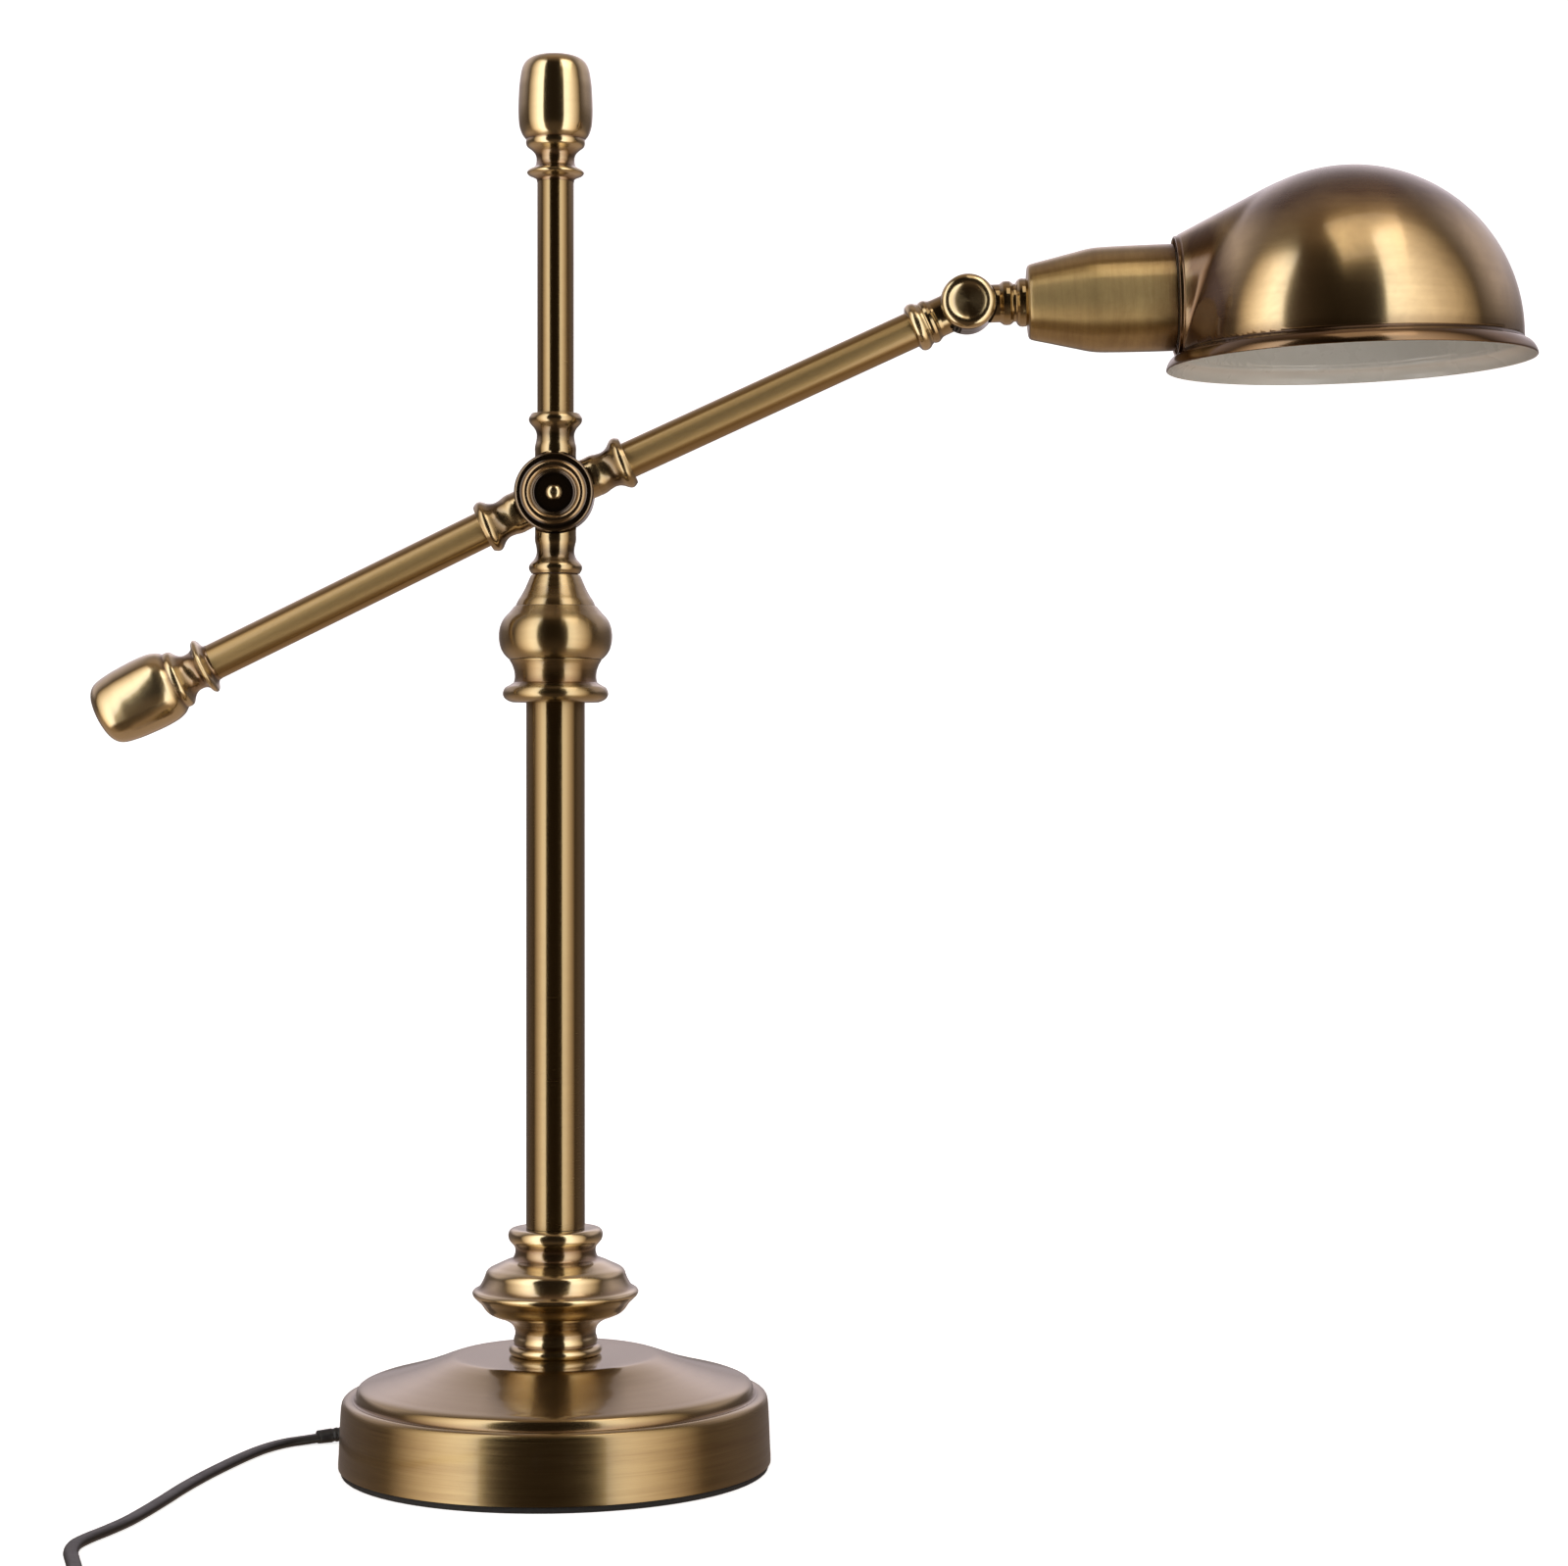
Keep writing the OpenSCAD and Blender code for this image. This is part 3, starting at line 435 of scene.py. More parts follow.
def cavities(prof, reach=2.6):
    """0 on the high rounds of a profile, 1 in its hollows, 0.5 on a plain wall: how far the wall lies inside its own average."""
    n = len(prof)
    s = [0.0]
    for a, b in zip(prof, prof[1:]):
        s.append(s[-1] + math.hypot(b[0] - a[0], b[1] - a[1]))
    out = []
    for i in range(n):
        sx = sy = w = 0.0
        j0 = i
        while j0 > 0 and s[i] - s[j0 - 1] < reach:
            j0 -= 1
        j1 = i
        while j1 < n - 1 and s[j1 + 1] - s[i] < reach:
            j1 += 1
        for j in range(j0, j1):
            l = s[j + 1] - s[j]
            sx += l * (prof[j][0] + prof[j + 1][0]) / 2
            sy += l * (prof[j][1] + prof[j + 1][1]) / 2
            w += l
        if w < 1e-6:
            out.append(0.5)
            continue
        sx, sy = sx / w, sy / w
        # a hollow's middle lies on the side of its centre of curvature, away from the metal
        a = prof[max(0, i - 1)]
        b = prof[min(n - 1, i + 1)]
        tx, ty = b[0] - a[0], b[1] - a[1]
        l = math.hypot(tx, ty) or 1.0
        nx, ny = ty / l, -tx / l      # outward for a profile that runs up its outside
        d = (sx - prof[i][0]) * nx + (sy - prof[i][1]) * ny
        out.append(max(0.0, min(1.0, 0.5 + d / 0.55)))
    # soften
    for _ in range(2):
        out = [(out[max(0, i - 1)] + out[i] * 2 + out[min(n - 1, i + 1)]) / 4 for i in range(n)]
    return out


def lathe(name, pts, mat, body, matrix, segs=128, step=0.55, corner=34, fillet=0.28, closed=True, mats=None,
          switch=None, flip=False, node_names=()):
    """A turned piece about local Z. pts run up the outside, then down the bore; millimetres."""
    prof = finer(list(pts) + ([pts[0]] if closed else []), step, corner, fillet)
    if closed:
        prof = prof[:-1] if (abs(prof[0][0] - prof[-1][0]) + abs(prof[0][1] - prof[-1][1])) < 1e-6 else prof
    cv = cavities(prof)
    verts, faces, patina_and_painted_shade, fm = [], [], [], []
    rings = []
    for (r, z), c in zip(prof, cv):
        if r < 1e-4:
            rings.append([len(verts)])
            verts.append((0, 0, z * MM))
            patina_and_painted_shade.append(c)
        else:
            ids = []
            for k in range(segs):
                a = 2 * math.pi * k / segs
                ids.append(len(verts))
                verts.append((r * MM * math.cos(a), r * MM * math.sin(a), z * MM))
                patina_and_painted_shade.append(c)
            rings.append(ids)
    pairs = list(zip(range(len(rings)), list(range(1, len(rings))) + ([0] if closed else [])))
    for i, j in pairs:
        A, B = rings[i], rings[j]
        if len(A) == 1 and len(B) == 1:
            continue
        for k in range(segs):
            k2 = (k + 1) % segs
            if len(A) == 1:
                f = (A[0], B[k2], B[k])
            elif len(B) == 1:
                f = (A[k], A[k2], B[0])
            else:
                f = (A[k], A[k2], B[k2], B[k])
            faces.append(tuple(reversed(f)) if flip else f)
            fm.append(switch(prof[i], prof[j]) if switch else 0)
    o = make_object(name, verts, faces, mats or mat, body, matrix, patina_and_painted_shade, fm if switch else None, sharp=50)
    if node_names:
        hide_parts(*node_names)
    return o


def tube(name, r, wall, l, mat, body, matrix, node_names, segs=128):
    return lathe(name, [(r, 0), (r, l * 0.33), (r, l * 0.66), (r, l), (r - wall, l), (r - wall, 0)], mat, body, matrix,
                 segs, step=200, fillet=0.12, node_names=node_names)


# ---------------------------------------------------------------- base
b = Z_BASE
shell_outer = [(5.3, b), (38.2, b), (39.4, b - 0.15), (40.5, b - 0.45), (43, b - 1.3), (48, b - 3.2), (54, b - 5.3), (62, b - 7.7), (70, b - 9.9),
               (73.6, b - 10.9), (74.9, b - 11.6), (75.6, b - 12.8), (76.1, b - 14.5)]
shell_shoulder = [(76.4, b - 15.2), (76.9, b - 15.5), (77.6, b - 15.3), (78.8, b - 15.2), (80.2, b - 15.6), (81.0, b - 16.6), (81.4, b - 18.2),
                  (81.9, 18.0), (82.3, 8.0), (82.5, 4.4), (82.5, 2.6)]
shell_inner = [(81.0, 2.6), (80.9, 8.0), (79.9, b - 18.0), (78.9, b - 16.7), (74.8, b - 16.4), (74.2, b - 12.9), (69.6, b - 11.4),
               (61.6, b - 9.1), (53.6, b - 6.7), (47.6, b - 4.7), (42.6, b - 2.7), (38.4, b - 1.4), (5.3, b - 1.4)]
outline = list(reversed(shell_shoulder)) + list(reversed(shell_outer)) + list(reversed(shell_inner))
lathe("base_shell_v", outline, BASE, "base", Matrix.Identity(4), 256, step=0.8, corner=38, fillet=0.25,
      mats=[BASE, BTOP], switch=lambda a, c: 1 if (a[0] + c[0]) / 2 < 80.6 and (a[1] + c[1]) / 2 > 6.0 else 0,
      node_names=("base_shell",))

pad = [(81.0, 0.0), (81.45, 0.25), (81.6, 0.7), (81.6, 2.0), (81.3, 2.58), (70, 2.58), (0, 2.58), (0, 0.3), (60, 0.3), (72, 0.3), (73, 0.0)]
lathe("base_pad_v", pad, PAD, "base", Matrix.Identity(4), 192, step=3, fillet=0.2, node_names=("base_pad",))

# ---------------------------------------------------------------- knop, column, urn
KNOP = [(16.8, 0), (17.6, 0.9), (17.9, 1.9), (17.5, 3.1), (16.6, 3.9), (15.9, 4.2), (16.0, 5.2),
        (15.9, 6.4), (15.5, 7.6), (15.4, 8.6), (15.6, 9.9), (16.1, 11.1), (17.1, 12.3), (18.7, 13.4),
        (20.8, 14.4), (23.6, 15.4), (25.6, 16.4), (26.9, 17.7), (27.7, 18.9), (28.6, 20.1), (30.2, 21.6),
        (31.4, 22.9), (31.8, 24.0), (31.3, 24.8), (29.9, 25.5), (28.9, 26.5), (28.1, 27.8), (27.5, 29.0),
        (26.9, 30.4), (26.5, 31.7), (25.6, 32.8), (22.6, 34.3), (19.4, 35.8), (16.6, 36.9), (15.8, 38.0),
        (15.4, 39.4), (15.4, 40.6), (15.7, 41.6), (16.6, 42.7), (17.6, 43.9), (18.0, 45.2), (18.0, 46.6),
        (17.4, 47.8), (16.2, 48.4), (11.0, 48.4)]
lathe("knop_v", KNOP + [(5.2, 48.4), (5.2, 0)], POL, "base", up(Z_BASE), 160, corner=40, node_names=("knop",))
tube("column_tube_v", 11.25, 1.3, Z_COLLAR - Z_COL, SAT, "base", up(Z_COL), ("column_tube",), 160)
lathe("urn_collar_v", [(16.6, 0), (18.2, 0.6), (19.6, 1.7), (20.2, 3.2), (19.9, 4.6), (19.2, 5.7), (17.6, 6.6),
                       (16.0, 7.6), (15.7, 8.8), (15.6, 10.0), (15.7, 11.2), (15.9, 12.4), (16.3, 13.6), (16.8, 14.8),
                       (17.5, 16.0), (17.75, 16.45), (7.0, 16.5), (7.0, 18.9), (4.95, 18.9), (4.95, 0)], URN, "base",
      up(Z_COLLAR), 144, corner=40, node_names=("urn_collar",))
lathe("urn_ball_v", [(17.9, 0.05), (18.8, 0.9), (19.9, 2.2), (20.8, 3.8), (21.4, 5.8), (21.7, 8.2), (21.6, 10.6),
                     (21.2, 12.6), (20.4, 14.6), (19.3, 16.2), (17.9, 17.7), (16.6, 19.2), (15.7, 20.35),
                     (12.1, 20.4), (12.1, 3), (7.1, 3), (7.1, 0)], URN, "base", up(Z_BALL), 144, corner=40,
      node_names=("urn_ball",))
lathe("urn_cone_v", [(15.3, 0.05), (14.8, 1.2), (14.2, 2.4), (13.4, 3.6), (12.7, 4.8), (12.1, 5.9), (11.5, 7.1), (11.0, 8.3),
                     (10.5, 9.4), (10.0, 10.6), (9.5, 11.6), (9.2, 12.0), (4.56, 12.0), (4.56, -1.2), (12, -1.2), (12, 0)], URN,
      "base", up(Z_CONE), 128, corner=40, node_names=("urn_cone",))

# ---------------------------------------------------------------- mast and arm
NECK = [(7.95, 16.3), (7.95, 17.4), (7.8, 18.6), (7.5, 19.8), (7.3, 21.0), (7.2, 22.2), (7.35, 23.3),
        (7.75, 24.4), (8.4, 25.4), (9.2, 26.3), (9.9, 27.2), (10.25, 28.2), (10.05, 29.3), (9.5, 30.2), (9.2, 30.7)]


def neck(name, body, matrix, bore=5.4):
    lathe(name + "_v", NECK + [(bore, 30.7), (bore, 16.3)], NECKB, body, matrix, 112, node_names=(name,))


FINIAL = [(7.1, 0), (7.3, 1.0), (8.6, 1.9), (10.4, 2.7), (11.0, 3.5), (10.4, 4.4), (8.8, 5.2), (7.9, 6.0),
          (7.4, 7.2), (7.3, 8.4), (7.4, 9.6), (7.9, 10.8), (8.7, 11.8), (9.9, 12.8), (10.9, 13.6), (11.3, 14.6),
          (11.3, 15.6), (11.2, 16.2), (11.9, 17.0), (12.7, 18.1), (13.3, 19.5), (13.8, 21.2), (14.1, 23.6),
          (14.25, 27.0), (14.2, 30.4), (14.05, 33.8), (13.85, 37.0), (13.5, 39.8), (13.1, 42.2), (12.6, 44.0),
          (11.9, 45.4), (10.8, 46.6), (9.2, 47.6), (7.0, 48.3), (4.0, 48.8), (0, 49.0)]


def finial(name, body, matrix):
    lathe(name + "_v", FINIAL + [(0, -9), (5.7, -9), (5.7, 0)], POL, body, matrix, 144, corner=46,
          node_names=(name,))


flip_z = Matrix.Rotation(180 * D, 4, "X")
neck("neck_collar_lower", "mast", up(Z_JOINT) @ flip_z, 6.25)
neck("neck_collar_upper", "mast", up(Z_JOINT))
L_ROD = 88.8
tube("top_rod_v", 7.0, 1.2, L_ROD, SAT, "mast", up(Z_JOINT + NECK_OUT), ("top_rod",))
finial("top_finial", "mast", up(Z_JOINT + NECK_OUT + L_ROD))
neck("neck_collar_left", "arm", left_half())
neck("neck_collar_right", "arm", right_half())
L_LEFT = 115.5
L_RIGHT = T_END - NECK_OUT
tube("arm_tube_left_v", 7.0, 1.2, L_LEFT, ARM, "arm", left_half(NECK_OUT), ("arm_tube_left",))
tube("arm_tube_right_v", 7.0, 1.2, L_RIGHT, ARM, "arm", right_half(NECK_OUT), ("arm_tube_right",))
finial("arm_finial", "arm", left_half(NECK_OUT + L_LEFT))
lathe("arm_end_collar_v", [(7.4, 0), (8.8, 0.7), (9.4, 1.8), (9.5, 2.8), (9.2, 4.0), (8.5, 5.0), (8.1, 5.8), (5.4, 5.8), (5.4, 0)],
      POL, "arm", right_half(T_END), 112, node_names=("arm_end_collar",))

# cross joint: cap, bolt's dome, nut
lathe("joint_cap_v", [(14.7, 0), (15.2, 0.4), (15.2, 1.0), (14.8, 1.55), (14.0, 1.85), (13.0, 1.85), (12.4, 2.05),
                      (11.7, 2.6), (10.9, 2.9), (10.0, 2.8), (9.3, 2.3), (8.7, 1.6), (8.2, 1.45), (7.9, 0.9), (7.4, 0.7), (3.0, 0.7),
                      (3.0, 0)],
      DARKB, "mast", face_front(0, -7.15, Z_JOINT), 128, step=0.3, corner=48, fillet=0.2,
      mats=[DARKB, RING], switch=lambda a, c: 1 if 8.9 < (a[0] + c[0]) / 2 < 12.2 and (a[1] + c[1]) / 2 > 1.9 else 0,
      node_names=("joint_cap",))
lathe("joint_bolt_v", [(2.95, -17.2), (2.95, 0.25), (2.9, 0.6), (2.7, 1.1), (2.3, 1.5), (1.5, 1.9), (0.7, 2.05), (0, 2.1), (0, -17.2)],
      POL, "mast", face_front(0, -7.85, Z_JOINT), 64, step=0.25, corner=50, fillet=0.15,
      node_names=("joint_bolt",))
lathe("joint_nut_v", [(7, 0), (7.2, 0.4), (7.2, 1.2), (6.2, 1.6), (6.0, 3.2), (5.4, 4.4), (4.2, 5.4), (2.4, 6.0), (0, 6.2), (0, 3.0),
                      (3.0, 3.0), (3.0, 0)],
      POL, "mast", face_back(0, 7.0, Z_JOINT), 96, step=0.3, corner=48, fillet=0.2, node_names=("joint_nut",))

# knuckle: dished cap, nut
lathe("knuckle_cap_v", [(10.3, 0), (10.5, 0.5), (10.4, 1.4), (9.9, 2.3), (9.0, 3.0), (8.0, 3.3), (7.2, 3.2), (6.2, 2.8), (5.0, 2.5),
                        (3, 2.3), (0, 2.2), (0, 1.2), (2.5, 1.2), (2.5, 0)],
      POL, "arm", face_front(KX, -8.6, KZ), 112, step=0.3, corner=55, fillet=0.15, node_names=("knuckle_cap",))
lathe("knuckle_nut_v", [(6.6, 0), (6.8, 0.4), (6.8, 1.1), (5.8, 1.5), (5.5, 3.0), (4.6, 4.2), (3.0, 5.0), (0, 5.4), (0, 2.1),
                        (2.5, 2.1), (2.5, 0)],
      POL, "arm", face_back(KX, 8.6, KZ), 96, step=0.3, corner=48, fillet=0.2, node_names=("knuckle_nut",))

# ---------------------------------------------------------------- head
cup_o = lathe("socket_cup_v", [(5.0, 23.1), (13.3, 23.1), (14.0, 23.45), (14.4, 24.2), (15.9, 30.4), (17.3, 36.4), (18.5, 41.6), (19.5, 46.0), (19.95, 49.4),
                       (20.2, 56), (20.35, 66), (20.4, 72.0), (20.4, 79.0), (19.4, 79.0), (19.3, 66), (19.2, 56), (19.0, 49.8),
                       (18.6, 47), (16.3, 37), (13.5, 25), (13.2, 24.2), (5.0, 24.2)],
      CUP, "head", along_head(), 144, step=0.9, corner=30, fillet=0.22, node_names=("socket_cup",))

# painted shade: the cup darkens towards its end at the shade's mouth
cup_patina_and_painted_shade = cup_o.data.attributes["patina_and_painted_shade"].data
for i, v in enumerate(cup_o.data.vertices):
    t = max(0.0, min(1.0, (v.co.z / MM - 60.0) / 18.0))
    cup_patina_and_painted_shade[i].value = min(1.0, max(cup_patina_and_painted_shade[i].value, 0.5 + 0.36 * t * t))

DX, DZ, RIM_Z = 146.3, -17.9, -27.7
R_DOME, R_RIM = 65.8, 70.7


def shade_grid(r_dome, r_cone0, x_mouth, blend, n_x=92, n_phi=168):
    """Rings of points round a bent middle line, from the mouth to the far side of the dome, in the head's own directions."""
    rows = []
    slope = 0.49
    a0 = math.asin((x_mouth - DX) / r_dome) if abs(x_mouth - DX) < r_dome else -math.pi / 2 + 0.02
    for i in range(n_x + 1):
        t = i / n_x
        t = t ** 1.25
        psi = a0 + (math.pi / 2 - a0) * t
        x = DX + r_dome * math.sin(psi)
        if i == 0:
            x = x_mouth
        rs2 = r_dome * r_dome - (x - DX) ** 2
        rs = math.sqrt(max(rs2, 0.0))
        w = max(0.0, min(1.0, (x - x_mouth) / (118.2 - x_mouth)))
        w = w * w * (3 - 2 * w)
        zc = DZ * w
        rc = r_cone0 + slope * (x - x_mouth)
        row = []
        for k in range(n_phi):
            phi = 2 * math.pi * k / n_phi
            cy, cz = math.sin(phi), math.cos(phi)
            # sphere above its middle, straight wall below it
            dz = zc - DZ
            bq = dz * cz
            disc = bq * bq - (dz * dz - rs2)
            s = -bq + math.sqrt(max(disc, 0.0))
            if zc + s * cz < DZ and rs > 0:
                s = abs(rs / cy) if abs(cy) > 1e-4 else 1e3
                if cz < 0:
                    s = min(s, (zc - (RIM_Z - 6)) / -cz)
            # cone about the head's axis
            c = -1e3
            if x < 121:
                bq2 = zc * cz
                disc2 = bq2 * bq2 - (zc * zc - rc * rc)
                if disc2 > 0:
                    c = -bq2 + math.sqrt(disc2)
            if c > 0:
                side = 1.0 - max(0.0, min(1.0, (cz - 0.25) / 0.6))
                k_ = 0.4 + blend * side
                fade = max(0.0, min(1.0, (121 - x) / 6))
                h = max(0.0, 1 - abs(s - c) / k_)
                s2 = max(s, c) + h * h * k_ / 4
                s = s + (s2 - s) * fade
            row.append((x, s * cy, zc + s * cz))
        rows.append(row)
    return rows


def shade_mesh():
    verts, faces, mat_i = [], [], []

    def add(rows, mat, flip):
        base = len(verts)
        n = len(rows[0])
        for row in rows:
            for p in row:
                verts.append(Vector((p[0] * MM, p[1] * MM, p[2] * MM)))
        for i in range(len(rows) - 1):
            for k in range(n):
                k2 = (k + 1) % n
                f = (base + i * n + k, base + i * n + k2, base + (i + 1) * n + k2, base + (i + 1) * n + k)
                faces.append(tuple(reversed(f)) if flip else f)
                mat_i.append(mat)

    outer = shade_grid(R_DOME, 24.0, 81.4, 7.0)
    inner = shade_grid(R_DOME - 1.0, 22.95, 82.4, 6.0)
    add(outer, 0, False)
    add(inner, 1, True)
    return verts, faces, mat_i


sv, sf, sm = shade_mesh()
bm = bmesh.new()
bv = [bm.verts.new(v) for v in sv]
for f, m in zip(sf, sm):
    try:
        face = bm.faces.new([bv[i] for i in f])
        face.material_index = m
        face.smooth = True
    except ValueError:
        pass
bmesh.ops.remove_doubles(bm, verts=bm.verts[:], dist=0.00002)
CUT = -21.1 * MM
geom = bm.verts[:] + bm.edges[:] + bm.faces[:]
bmesh.ops.bisect_plane(bm, geom=geom, dist=1e-7, plane_co=(0, 0, CUT), plane_no=(0, 0, 1), clear_inner=True)
loose = [v for v in bm.verts if not v.link_faces]
bmesh.ops.delete(bm, geom=loose, context="VERTS")
bmesh.ops.dissolve_degenerate(bm, dist=1e-6, edges=bm.edges[:])
bmesh.ops.translate(bm, vec=(-DX * MM, 0, 0), verts=bm.verts[:])
# close the sheet's edge between its outer and inner faces
made = bmesh.ops.bridge_loops(bm, edges=[e for e in bm.edges if e.is_boundary])
for f in made["faces"]:
    f.material_index = 0
    f.smooth = False
bmesh.ops.recalc_face_normals(bm, faces=bm.faces[:])
print("shade: open edges", sum(1 for e in bm.edges if e.is_boundary), "volume cm3", round(bm.calc_volume(signed=True) * 1e6, 2))
me = bpy.data.meshes.new("shade_shell_v")
bm.to_mesh(me)
bm.free()
me.materials.append(PATINA_AND_PAINTED_SHADE)
me.materials.append(ENAM)
att = me.attributes.new("patina_and_painted_shade", "FLOAT", "POINT")
vals = []
for v in me.vertices:
    x, y, z = v.co.x / MM + DX, v.co.y / MM, v.co.z / MM
    # painted shade: darker in the crease between the neck and the dome, along the crease above the rim's lip and next
    # to the mouth ring; the shell is also darker towards the crown
    d = math.sqrt((x - DX) ** 2 + y * y + (z - DZ) ** 2)
    ra = math.hypot(y, z)
    hollow = 0.0
    if x < 112:
        lateral = max(0.0, min(1.0, (abs(y) - 8) / 10.0))
        hollow = max(0.0, min(1.0, 1.35 - abs(x - 88.0) / 9.0)) * (0.45 + 0.55 * lateral)
    low = max(0.0, 1 - abs(z + 21.1) / 5.0) * 0.55
    mouth = max(0.0, 1 - abs(x - 82.0) / 3.0) * 0.5
    crown = max(0.0, min(1.0, (z - 12.0) / 24.0))
    crown = crown * crown * (3 - 2 * crown) * 0.8
    vals.append(min(1.0, 0.5 + 0.5 * max(hollow, low, mouth, crown)))
att.data.foreach_set("value", vals)
shade = bpy.data.objects.new("shade_shell_v", me)
bpy.context.scene.collection.objects.link(shade)
shade.matrix_world = HEAD_M @ Matrix.Translation((DX * MM, 0, 0))
bpy.context.view_layer.update()
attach(shade, "head")

# flared lip of the shade, drawn in dark brass as painted shade
rim = [(65.8, -21.0), (65.95, -21.5), (66.5, -22.0), (67.4, -22.45), (68.3, -23.0), (69.2, -23.9), (69.9, -24.9), (70.4, -26.0), (70.68, -27.0),
       (70.7, -27.45), (70.5, -27.68), (70.1, -27.68), (69.85, -27.4), (69.5, -26.4), (68.9, -25.2), (68.1, -24.2), (67.1, -23.5),
       (66.0, -23.0), (65.3, -22.6), (64.9, -22.0), (64.8, -21.0)]
rim.reverse()
LIP = [(-27.7, 70.35), (-27.0, 70.2), (-26.0, 69.85), (-25.0, 69.3), (-24.0, 68.5), (-23.0, 67.15), (-22.0, 65.7), (-20.9, 65.3)]


def lip_mid(z):
    """Middle of the lip's sheet at height z: enamel lies inside it."""
    for (z0, r0), (z1, r1) in zip(LIP, LIP[1:]):
        if z <= z1:
            return r0 + (r1 - r0) * (z - z0) / (z1 - z0)
    return LIP[-1][1]


rim_o = lathe("shade_rim_v", rim, LIP_PAINTED_SHADE, "head", HEAD_M @ Matrix.Translation((DX * MM, 0, 0)), 224, step=0.35, corner=70,
              fillet=0.1, closed=True, mats=[LIP_PAINTED_SHADE, ENAM],
              switch=lambda a, c: 1 if (a[0] + c[0]) / 2 < lip_mid((a[1] + c[1]) / 2) else 0)
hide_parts("shade")

# ring round the shade's mouth, drawn in dark brass as painted shade
lathe("shade_mouth_v", [(17.8, 82.45), (17.8, 81.4), (22.3, 81.35), (22.35, 79.75), (22.6, 79.45), (23.0, 79.4), (23.3, 79.65), (23.4, 80.4),
                        (23.6, 81.0), (24.05, 81.42), (23.6, 82.2), (22.9, 82.45)],
      LIP_PAINTED_SHADE, "head", along_head(), 144, step=0.4, corner=40, fillet=0.15)


# ---------------------------------------------------------------- carried-over CAD nodes
def finish_node(name, mat):
    o = NODES[name]
    o.data.materials.clear()
    o.data.materials.append(mat)


for n, m in {"base_weight": IRON, "base_washer": STEEL, "base_nut": STEEL, "tie_rod": STEEL, "swivel_washer": FIBRE,
             "swivel_stop": STEEL, "swivel_pin": STEEL, "swivel_nut": STEEL, "mast_hub": CAST, "joint_washer": FIBRE,
             "arm_hub": CAST, "knuckle_arm": CAST, "knuckle_bolt": CAST, "knuckle_washer": FIBRE, "knuckle_screw": DSTEEL,
             "knuckle_head": CAST, "lampholder": PORC, "thread_shell": BARE, "centre_contact": BARE, "shade_ring": PORC,
             "plug_blades": STEEL}.items():
    finish_node(n, m)

# ---------------------------------------------------------------- cord
RUN = [(-97, 48, 2.4), (-103, 45, 2.0), (-109, 41, 1.8), (-114, 34, 1.75), (-118, 25, 1.75), (-122, 12, 1.75), (-126, -4, 1.75), (-130, -22, 1.75),
       (-134, -44, 1.75), (-137, -66, 1.75), (-140, -86, 1.75), (-143, -102, 1.75), (-147, -116, 1.75), (-151, -128, 1.75), (-153, -138, 1.75),
       (-152, -149, 1.75), (-149, -160, 1.75), (-145, -174, 1.75), (-142, -190, 1.75), (-139, -208, 1.75), (-135, -225, 1.75),
       (-129, -240, 1.85), (-122, -254, 2.4), (-113, -263, 3.6), (-104, -267, 4.4), (-100, -268, 4.5), (-88, -268, 4.5), (-75, -268, 4.5),
       (-62, -268, 4.5), (-49, -268, 4.5), (-44, -268, 4.4), (-35, -269, 3.2), (-24, -271, 2.0), (-12, -275, 1.75), (0, -278, 1.75),
       (8, -279, 1.75)]
CX, CY = 15.0, -245.0


def coil_points():
    pts = []
    radii = [34.2, 28.9, 23.6, 23.6, 28.9, 34.2, 29.0]
    levels = [1.75, 1.75, 1.75, 5.25, 5.25, 5.25, 8.75]
    per = 30
    for t in range(7):
        r0, z0 = radii[t], levels[t]
        r1, z1 = (radii[t + 1], levels[t + 1]) if t < 6 else (29.0, 8.85)
        for i in range(per):
            u = i / per
            w = max(0.0, (u - 0.80) / 0.20)
            w = w * w * (3 - 2 * w)
            r = r0 + (r1 - r0) * w
            z = z0 + (z1 - z0) * w
            a = -90 * D + 2 * math.pi * u
            pts.append((CX + r * math.cos(a), CY + r * math.sin(a), z))
    return pts


END = [(15, -274, 8.9), (22, -273.6, 9.0), (34, -272.6, 9.0), (46, -271, 8.4), (56, -270, 8), (64, -270, 8)]


def catmull(pts, step):
    P = [Vector(p) for p in pts]
    out = []
    for i in range(len(P) - 1):
        p0 = P[i - 1] if i else P[0] * 2 - P[1]
        p1, p2 = P[i], P[i + 1]
        p3 = P[i + 2] if i + 2 < len(P) else P[-1] * 2 - P[-2]
        k = max(1, int(round((p2 - p1).length / step)))
        for j in range(k):
            u = j / k
            out.append((p1 * 2 + (p2 - p0) * u + (p0 * 2 - p1 * 5 + p2 * 4 - p3) * u * u + (p1 * 3 - p0 - p2 * 3 + p3) * u * u * u) * 0.5)
    out.append(P[-1])
    return out


path = catmull(RUN + coil_points() + END, 2.6)


